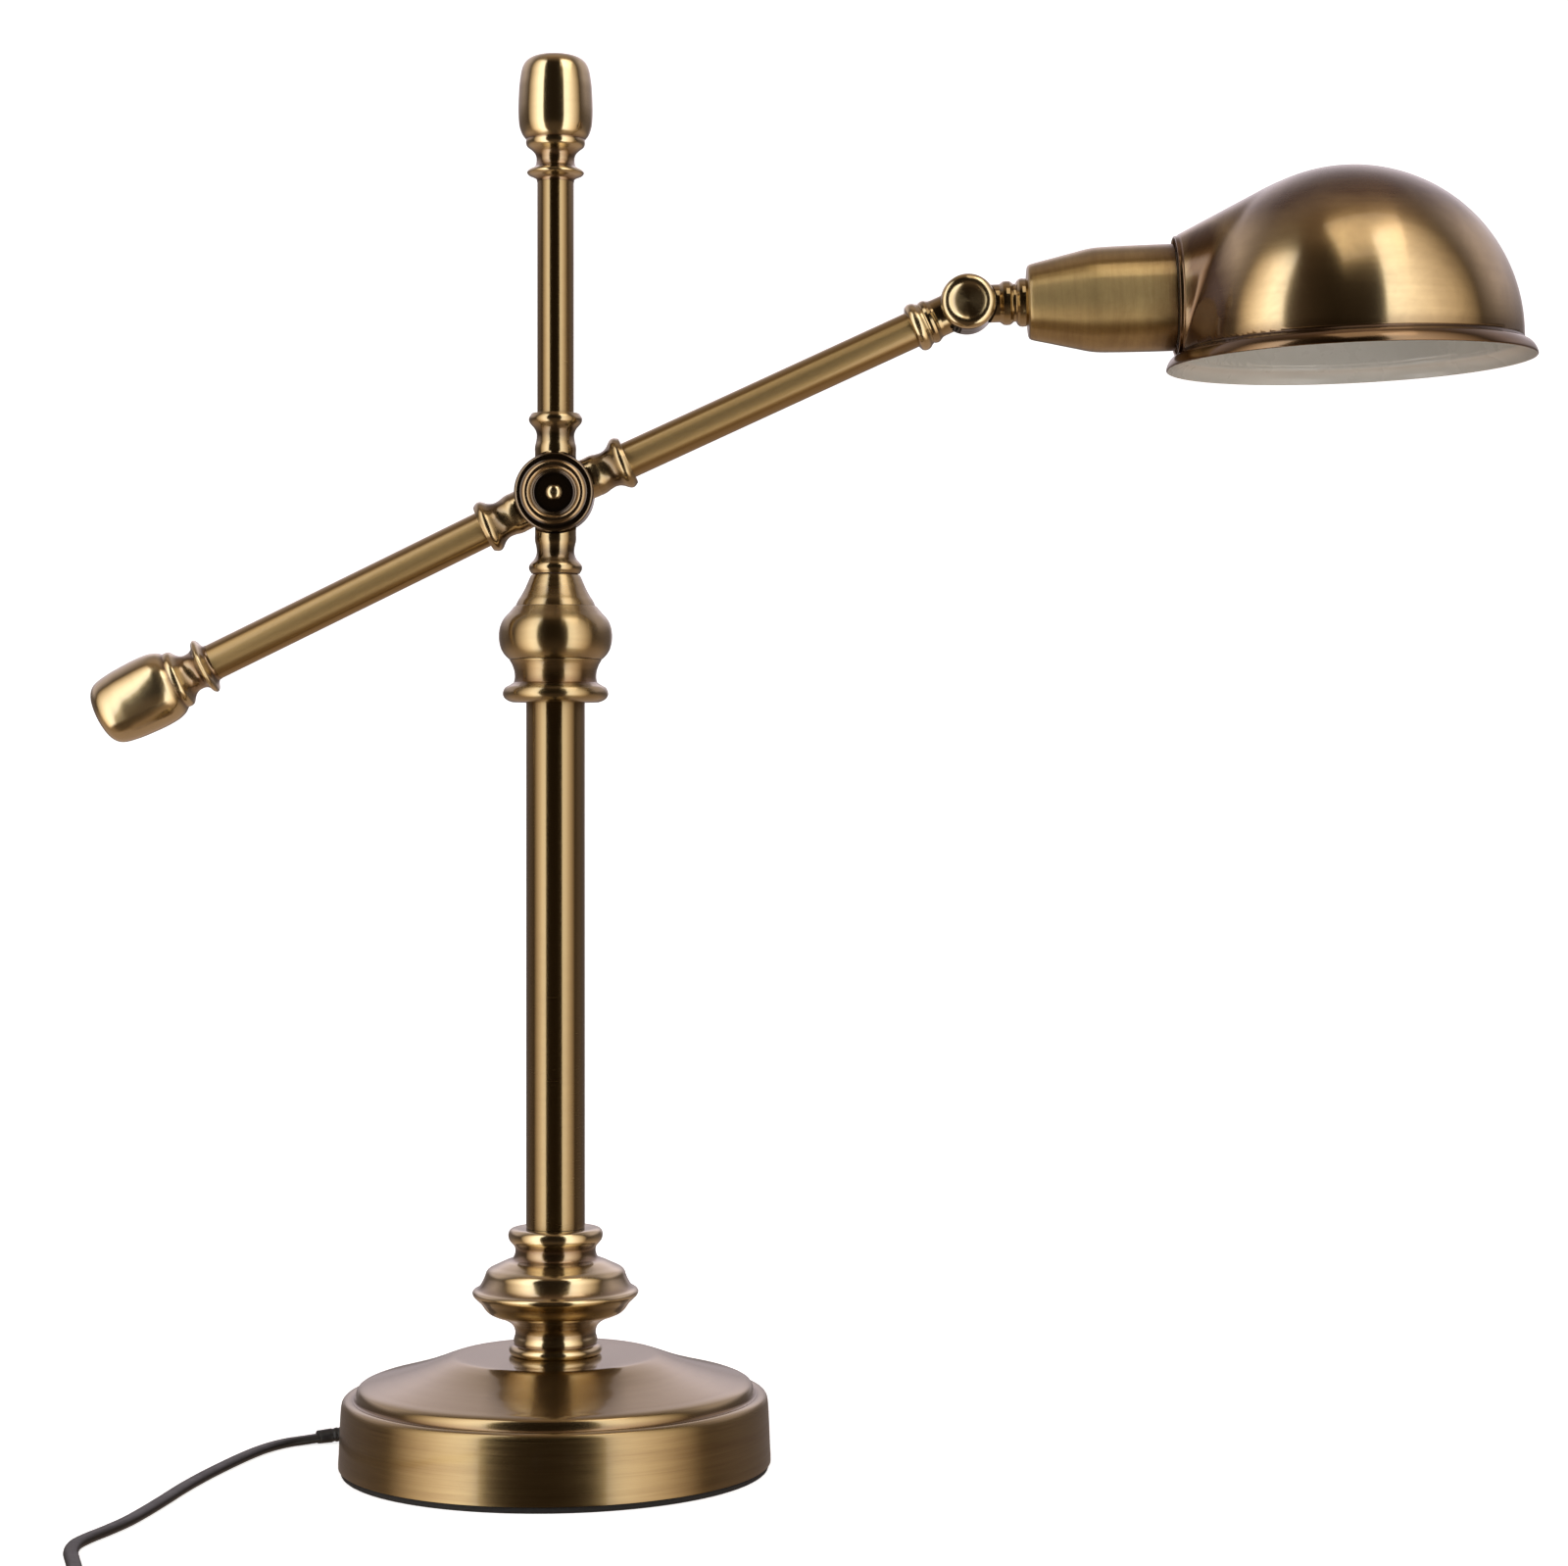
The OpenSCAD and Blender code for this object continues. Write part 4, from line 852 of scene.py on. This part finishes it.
def flat_cord(name, path, mat, width=5.2, thick=3.4):
    """A flat twin cord: two round cores side by side in one jacket, lying flat."""
    lobe = thick / 2
    off = width / 2 - lobe
    sec = []
    n = 9
    for k in range(n):
        a = -math.pi * 0.62 + 2 * math.pi * 0.62 * k / (n - 1)
        sec.append((off + lobe * math.cos(a), lobe * math.sin(a)))
    for k in range(n):
        a = math.pi - math.pi * 0.62 + 2 * math.pi * 0.62 * k / (n - 1)
        sec.append((-off + lobe * math.cos(a), lobe * math.sin(a)))
    sec = [(max(-width / 2, min(width / 2, x)), y) for x, y in sec]
    verts, faces = [], []
    m = len(sec)
    for i, p in enumerate(path):
        d = (path[min(i + 1, len(path) - 1)] - path[max(i - 1, 0)]).normalized()
        s = Vector((-d.y, d.x, 0)).normalized()
        u = d.cross(s)
        for x, y in sec:
            verts.append((p + s * x + u * y) * MM)
    for i in range(len(path) - 1):
        for k in range(m):
            k2 = (k + 1) % m
            faces.append((i * m + k, i * m + k2, (i + 1) * m + k2, (i + 1) * m + k))
    faces.append(tuple(reversed(range(m))))
    faces.append(tuple((len(path) - 1) * m + k for k in range(m)))
    return make_object(name, verts, faces, mat, "base")


cord_o = flat_cord("cord_v", path, CORD)
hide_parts("cord_run", "cord_mid", "cord_coil", "cord_end")

# strain relief: ribbed soft tail round the start of the cord
REL = [(-70, 40.4, 7.4), (-74, 42.7, 7.2), (-79, 45.6, 6.4), (-84, 47.8, 5.0), (-90, 48.9, 3.6), (-97, 48, 2.75), (-98.5, 47.4, 2.7)]


def swept(name, pts, radius, mat, body, step=0.7, m=20, w=1.0):
    P = catmull(pts, step)
    L = [0.0]
    for a_, b_ in zip(P, P[1:]):
        L.append(L[-1] + (b_ - a_).length)
    verts, faces = [], []
    for i, p in enumerate(P):
        d = (P[min(i + 1, len(P) - 1)] - P[max(i - 1, 0)]).normalized()
        s = Vector((-d.y, d.x, 0)).normalized()
        u = d.cross(s)
        rw, rh = radius(L[i] / L[-1], L[i])
        for k in range(m):
            a = 2 * math.pi * k / m
            verts.append((p + s * (rw * math.cos(a)) + u * (rh * math.sin(a))) * MM)
    for i in range(len(P) - 1):
        for k in range(m):
            k2 = (k + 1) % m
            faces.append((i * m + k, i * m + k2, (i + 1) * m + k2, (i + 1) * m + k))
    faces.append(tuple(reversed(range(m))))
    faces.append(tuple((len(P) - 1) * m + k for k in range(m)))
    return make_object(name, verts, faces, mat, body)


def relief_r(t, l):
    rw = 3.6 + (2.82 - 3.6) * t
    rh = 3.6 + (2.62 - 3.6) * t
    if 8 < l < 26:
        g = 0.34 * (0.5 - 0.5 * math.cos(2 * math.pi * (l - 8) / 2.25)) ** 2
        rw -= g
        rh -= g
    return rw, rh


relief = swept("cord_relief_v", REL, relief_r, RUB, "base", 0.45, 24)
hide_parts("cord_relief")
az = 150 * D
gland_m = Matrix.Translation((BASE_R * MM * math.cos(az), BASE_R * MM * math.sin(az), 7.4 * MM)) @ Matrix.Rotation(az, 4, "Z") @ Matrix.Rotation(90 * D, 4, "Y")
gland = lathe("cord_gland_v", [(3.75, -5), (3.75, 0.2), (4.95, 0.3), (5.0, 0.8), (4.8, 1.7), (4.4, 2.3), (3.4, 2.4), (3.4, -5)], RUB, "base",
              gland_m, 64, step=0.4, fillet=0.2)


# in-line switch: case halves with soft edges, rocker
SWX, SWY = -75.0, -268.0


def stadium(grow, n=20, l=54.0, w=21.0):
    """Outline of the case seen from above, rounded ends of an even width."""
    pts = []
    r = w / 2 + grow
    for k in range(n + 1):
        a = -90 * D + math.pi * k / n
        pts.append((l / 2 - w / 2 + r * math.cos(a), r * math.sin(a)))
    for k in range(n + 1):
        a = 90 * D + math.pi * k / n
        pts.append((-l / 2 + w / 2 + r * math.cos(a), r * math.sin(a)))
    return pts


def case_half(name, levels, node_name, hole=None):
    """levels: (z, grow) from one end of the half to the other. hole: half-size of the rocker's opening in the top."""
    verts, faces = [], []
    rings = []
    for z, g in levels:
        ids = []
        for x, y in stadium(g):
            ids.append(len(verts))
            verts.append(((SWX + x) * MM, (SWY + y) * MM, z * MM))
        rings.append(ids)
    m = len(rings[0])
    for A, B in zip(rings, rings[1:]):
        for k in range(m):
            k2 = (k + 1) % m
            faces.append((A[k], A[k2], B[k2], B[k]))
    faces.append(tuple(reversed(rings[0])))
    if hole is None:
        faces.append(tuple(rings[-1]))
        top_ring = None
    else:
        hx, hy, z1, depth = hole
        ring = []
        top = rings[-1]
        for i in top:
            x, y, z = verts[i][0] / MM - SWX, verts[i][1] / MM - SWY, 0
            s = 1.0 / max(abs(x) / hx, abs(y) / hy, 1e-6)
            ring.append(len(verts))
            verts.append(((SWX + x * s) * MM, (SWY + y * s) * MM, z1 * MM))
        deep = []
        for i in ring:
            deep.append(len(verts))
            verts.append((verts[i][0], verts[i][1], (z1 - depth) * MM))
        for k in range(m):
            k2 = (k + 1) % m
            faces.append((top[k], top[k2], ring[k2], ring[k]))
            faces.append((ring[k], ring[k2], deep[k2], deep[k]))
        faces.append(tuple(deep))
    o = make_object(name, verts, faces, PLAS, "base", sharp=38)
    if node_name:
        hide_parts(node_name)
    return o


sw_low = case_half("switch_base_v", [(0.0, -1.4), (0.2, -0.8), (0.9, -0.25), (2.2, 0.0), (4.6, 0.0), (6.4, -0.02), (6.85, -0.22), (6.98, -0.5)], "switch_base")
sw_top = case_half("switch_cover_v", [(7.0, -0.5), (7.15, -0.22), (7.6, -0.02), (9.2, -0.05), (11.2, -0.25), (12.8, -0.9), (13.9, -2.0), (14.4, -3.2), (14.58, -4.6)],
                   "switch_cover", hole=(7.9, 3.95, 14.55, 4.0))


def rocker():
    prof = [(-6.8, 1.0), (-7.0, 5.4), (-6.6, 5.75), (-5.0, 5.35), (-2.5, 4.7), (0, 4.45), (2.5, 4.7), (5.0, 5.35), (6.6, 5.75), (7.0, 5.4), (6.8, 1.0),
            (2.0, -2.2), (-2.0, -2.2)]
    verts, faces = [], []
    M = Matrix.Translation((SWX * MM, SWY * MM, 10.6 * MM)) @ Matrix.Rotation(8 * D, 4, "Y")
    layers = [(-3.6, 0.25), (-3.45, 0.06), (-3.2, 0.0), (3.2, 0.0), (3.45, 0.06), (3.6, 0.25)]
    rings = []
    for y, g in layers:
        ids = []
        for x, z in prof:
            s = 1 - g / 7
            ids.append(len(verts))
            verts.append(M @ Vector((x * s * MM, y * MM, ((z - 1.6) * s + 1.6) * MM)))
        rings.append(ids)
    m = len(prof)
    for A, B in zip(rings, rings[1:]):
        for k in range(m):
            k2 = (k + 1) % m
            faces.append((A[k], B[k], B[k2], A[k2]))
    faces.append(tuple(rings[0]))
    faces.append(tuple(reversed(rings[-1])))
    o = make_object("switch_rocker_v", verts, faces, ROCK, "rocker", sharp=42)
    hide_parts("switch_rocker")
    return o


rock = rocker()


# plug: moulded body with grip ribs, cone relief
PX, PY, PZ = 60.0, -270.0, 8.0


def superellipse(hw, hh, n=40, e=3.2):
    out = []
    for k in range(n):
        a = 2 * math.pi * k / n
        c, s = math.cos(a), math.sin(a)
        out.append((hw * math.copysign(abs(c) ** (2 / e), c), hh * math.copysign(abs(s) ** (2 / e), s)))
    return out


def plug():
    # x along the plug, half width, half height, squareness
    secs = [(0.0, 3.0, 2.6, 2.0), (0.4, 3.55, 3.1, 2.0)]
    x = 2.0
    for i in range(6):
        r = 3.7 + 0.32 * i
        secs += [(x, r, r * 0.95, 2.0), (x + 1.7, r + 0.1, r * 0.95 + 0.1, 2.0), (x + 2.0, r - 0.7, r * 0.95 - 0.7, 2.0), (x + 2.7, r - 0.65, r * 0.95 - 0.65, 2.0)]
        x += 3.0
    secs += [(20.4, 6.4, 5.6, 2.1), (21.2, 9.4, 6.2, 2.6), (22.6, 11.4, 6.9, 3.0), (25.0, 12.2, 7.5, 3.4)]
    for i in range(5):
        x0 = 27.0 + i * 2.4
        secs += [(x0, 12.3, 7.8, 3.6), (x0 + 0.3, 11.9, 7.45, 3.6), (x0 + 0.9, 11.9, 7.45, 3.6), (x0 + 1.2, 12.3, 7.8, 3.6)]
    secs += [(41.0, 12.55, 7.95, 4.2), (44.8, 12.6, 7.98, 4.6), (45.7, 12.4, 7.8, 4.6), (46.0, 12.0, 7.4, 4.6)]
    verts, faces, rings = [], [], []
    for x, hw, hh, e in secs:
        ids = []
        for yy, zz in superellipse(hw, hh, 44, e):
            ids.append(len(verts))
            verts.append(((PX + x) * MM, (PY + yy) * MM, (PZ + zz) * MM))
        rings.append(ids)
    m = 44
    for A, B in zip(rings, rings[1:]):
        for k in range(m):
            k2 = (k + 1) % m
            faces.append((A[k], A[k2], B[k2], B[k]))
    faces.append(tuple(reversed(rings[0])))
    faces.append(tuple(rings[-1]))
    o = make_object("plug_body_v", verts, faces, PLAS, "base", sharp=40)
    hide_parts("plug_body")
    return o


plug_o = plug()


def tie():
    """A twist tie round the coil's turns: a flat band that follows their outside."""
    cx = CX + 29.0
    loop = []
    w, top, low = 8.9, 11.3, 0.35
    for k in range(40):
        a = 2 * math.pi * k / 40
        x = w * math.copysign(abs(math.cos(a)) ** 0.55, math.cos(a))
        z = (top + low) / 2 + (top - low) / 2 * math.copysign(abs(math.sin(a)) ** 0.55, math.sin(a))
        loop.append((cx + x, z))
    verts, faces, rings = [], [], []
    for i, (x, z) in enumerate(loop):
        ax, az_ = x - cx, z - 5.8
        l = math.hypot(ax, az_)
        nx, nz = ax / l, az_ / l
        sec = [(-2.2, 0.0), (-2.0, 0.28), (-0.9, 0.3), (-0.5, 0.45), (0.5, 0.45), (0.9, 0.3), (2.0, 0.28), (2.2, 0.0), (1.0, -0.28), (-1.0, -0.28)]
        ids = []
        for y, t in sec:
            ids.append(len(verts))
            verts.append(((x + nx * t) * MM, (CY + y) * MM, max(0.02, z + nz * t) * MM))
        rings.append(ids)
    m = len(rings[0])
    for i in range(len(rings)):
        A, B = rings[i], rings[(i + 1) % len(rings)]
        for k in range(m):
            k2 = (k + 1) % m
            faces.append((A[k], B[k], B[k2], A[k2]))
    o = make_object("coil_tie_v", verts, faces, RUB, "base")
    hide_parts("coil_tie")
    return o


tie_o = tie()
tie_o.data.flip_normals()
rock.data.flip_normals()

# ---------------------------------------------------------------- floor and light
bm = bmesh.new()
ys = [-9.0, -3.0, 0.0, 1.2]
prof = [(y, 0.0) for y in ys]
for k in range(1, 13):
    a = 90 * D * k / 12
    prof.append((1.2 + 1.4 * math.sin(a), 1.4 - 1.4 * math.cos(a)))
prof.append((2.6, 6.0))
fl = bpy.data.meshes.new("floor")
fv, ff = [], []
for y, z in prof:
    fv += [(-9, y, z), (9, y, z)]
for i in range(len(prof) - 1):
    ff.append((2 * i, 2 * i + 1, 2 * i + 3, 2 * i + 2))
bm.free()
fl.from_pydata(fv, [], ff)
fl.polygons.foreach_set("use_smooth", [True] * len(fl.polygons))
floor = bpy.data.objects.new("floor", fl)
bpy.context.scene.collection.objects.link(floor)
fm_, fnt, fp = new_mat("floor")
fp.inputs["Base Color"].default_value = (0.90, 0.90, 0.90, 1)
fp.inputs["Roughness"].default_value = 0.7
fp.inputs["Specular IOR Level"].default_value = 0.2
fp.inputs["Emission Color"].default_value = (1, 1, 1, 1)
ftc = node(fnt, "ShaderNodeTexCoord")
fsep = node(fnt, "ShaderNodeSeparateXYZ")
fnt.links.new(ftc.outputs["Object"], fsep.inputs[0])
fnt.links.new(ramp(fnt, fsep.outputs[1], 0.05, 1.1, 0.72, 1.1), fp.inputs["Emission Strength"])
fl.materials.append(fm_)
floor.visible_glossy = False
floor.visible_diffuse = False


def softbox(name, inner, az_mid, w, h, z, level, colour, fade, side):
    """A tall box of light that faces the lamp. inner is its inner edge (x, y); it grows dimmer towards its outer edge."""
    li = bpy.data.lights.new(name, "AREA")
    li.shape = "RECTANGLE"
    li.size, li.size_y = w, h
    li.energy = 4.0 * level * w * h
    li.color = colour
    li.use_nodes = True
    lt = li.node_tree
    lt.nodes.clear()
    lo = lt.nodes.new("ShaderNodeOutputLight")
    le = lt.nodes.new("ShaderNodeEmission")
    lg = lt.nodes.new("ShaderNodeNewGeometry")
    ls = lt.nodes.new("ShaderNodeSeparateXYZ")
    lt.links.new(lg.outputs["Parametric"], ls.inputs[0])
    u, v = ls.outputs[0], ls.outputs[1]
    if side < 0:
        u = math_node(lt, "SUBTRACT", 1.0, u)
    glow = ramp(lt, u, fade, 1.0, 1.0, 0.05)
    ends = math_node(lt, "MULTIPLY", ramp(lt, v, 0.0, 0.12), ramp(lt, v, 1.0, 0.88))
    lt.links.new(mix_col(lt, ramp(lt, u, fade * 0.6, 0.95), (1.0, 1.0, 1.0), (1.0, 0.80, 0.58)), le.inputs["Color"])
    lt.links.new(math_node(lt, "MULTIPLY", glow, ends), le.inputs["Strength"])
    lt.links.new(le.outputs[0], lo.inputs["Surface"])
    o = bpy.data.objects.new(name, li)
    bpy.context.scene.collection.objects.link(o)
    a = az_mid * D
    out = Vector((math.sin(a), -math.cos(a), 0))
    along = Vector((math.cos(a), math.sin(a), 0)) * side
    o.location = Vector((inner[0], inner[1], z)) + along * (w / 2)
    o.rotation_euler = (-out).to_track_quat("-Z", "Y").to_euler()
    o.visible_camera = False
    return o


softbox("key_left", (-0.333, -0.513), -57, 0.56, 1.95, 0.42, 1.95, (1.0, 0.995, 1.0), 0.30, -1)
softbox("key_right", (0.565, -0.96), 55, 1.05, 3.3, 0.80, 1.75, (1.0, 0.99, 0.98), 0.26, 1)


def plain_light(name, pos, aim, w, h, level, colour):
    li = bpy.data.lights.new(name, "AREA")
    li.shape = "RECTANGLE"
    li.size, li.size_y = w, h
    li.energy = 4.0 * level * w * h
    li.color = colour
    o = bpy.data.objects.new(name, li)
    bpy.context.scene.collection.objects.link(o)
    o.location = pos
    o.rotation_euler = (Vector(aim) - Vector(pos)).to_track_quat("-Z", "Y").to_euler()
    o.visible_camera = False


plain_light("head_fill", (0.36, -0.29, 0.97), (0.30, 0.0, 0.44), 0.42, 0.36, 1.0, (1.0, 0.86, 0.68))

world = bpy.data.worlds.new("world")
bpy.context.scene.world = world
world.use_nodes = True
wn = world.node_tree
wn.nodes.clear()
wo = wn.nodes.new("ShaderNodeOutputWorld")
wb = wn.nodes.new("ShaderNodeBackground")
wtc = node(wn, "ShaderNodeTexCoord")
wsep = node(wn, "ShaderNodeSeparateXYZ")
wn.links.new(wtc.outputs["Generated"], wsep.inputs[0])
wx, wy, wz = wsep.outputs
flat = math_node(wn, "SQRT", math_node(wn, "ADD", math_node(wn, "MULTIPLY", wx, wx), math_node(wn, "MULTIPLY", wy, wy)))
front = math_node(wn, "DIVIDE", math_node(wn, "MULTIPLY", wy, -1.0), math_node(wn, "MAXIMUM", flat, 0.001))
side = ramp(wn, front, 0.95, 0.70)
back = ramp(wn, front, 0.2, -0.5)
rear = ramp(wn, wy, -0.05, 0.35)
high = math_node(wn, "MULTIPLY", ramp(wn, wz, 0.12, 0.36), ramp(wn, wz, 0.86, 0.62))
glow = math_node(wn, "MULTIPLY", ramp(wn, front, -0.86, -0.97), math_node(wn, "MULTIPLY", ramp(wn, wz, -0.10, 0.02), ramp(wn, wz, 0.7, 0.4)))
pole = ramp(wn, wz, 0.78, 1.0)
below = ramp(wn, wz, -0.15, -0.50)
warm = math_node(wn, "ADD", math_node(wn, "MULTIPLY", pole, 0.26),
                 math_node(wn, "MULTIPLY", below, math_node(wn, "ADD", math_node(wn, "MULTIPLY", side, 0.24), 0.08)))
warm = math_node(wn, "ADD", warm, math_node(wn, "MULTIPLY", side, 0.05))
warm = math_node(wn, "ADD", warm, 0.022)
pink = math_node(wn, "ADD", math_node(wn, "MULTIPLY", back, 0.09), math_node(wn, "MULTIPLY", math_node(wn, "MULTIPLY", rear, high), 0.55))
pink = math_node(wn, "ADD", pink, math_node(wn, "MULTIPLY", glow, 0.30))
pink = math_node(wn, "ADD", pink, math_node(wn, "MULTIPLY", math_node(wn, "MULTIPLY", rear, ramp(wn, wz, 0.6, 0.8)), 0.10))
wmix = mix_col(wn, 1.0, mix_col(wn, 1.0, (1.0, 0.70, 0.46), warm, "MULTIPLY"), mix_col(wn, 1.0, (1.0, 0.90, 0.98), pink, "MULTIPLY"), "ADD")
seen = wn.nodes.new("ShaderNodeLightPath")
wn.links.new(mix_col(wn, seen.outputs["Is Camera Ray"], wmix, (1.0, 1.0, 1.0)), wb.inputs["Color"])
wb.inputs["Strength"].default_value = 1.0
wn.links.new(wb.outputs[0], wo.inputs[0])

bpy.context.scene.view_settings.view_transform = "Standard"
bpy.context.scene.view_settings.look = "None"
bpy.context.scene.view_settings.exposure = 0.0
bpy.context.scene.view_settings.gamma = 1.0

bpy.context.view_layer.update()
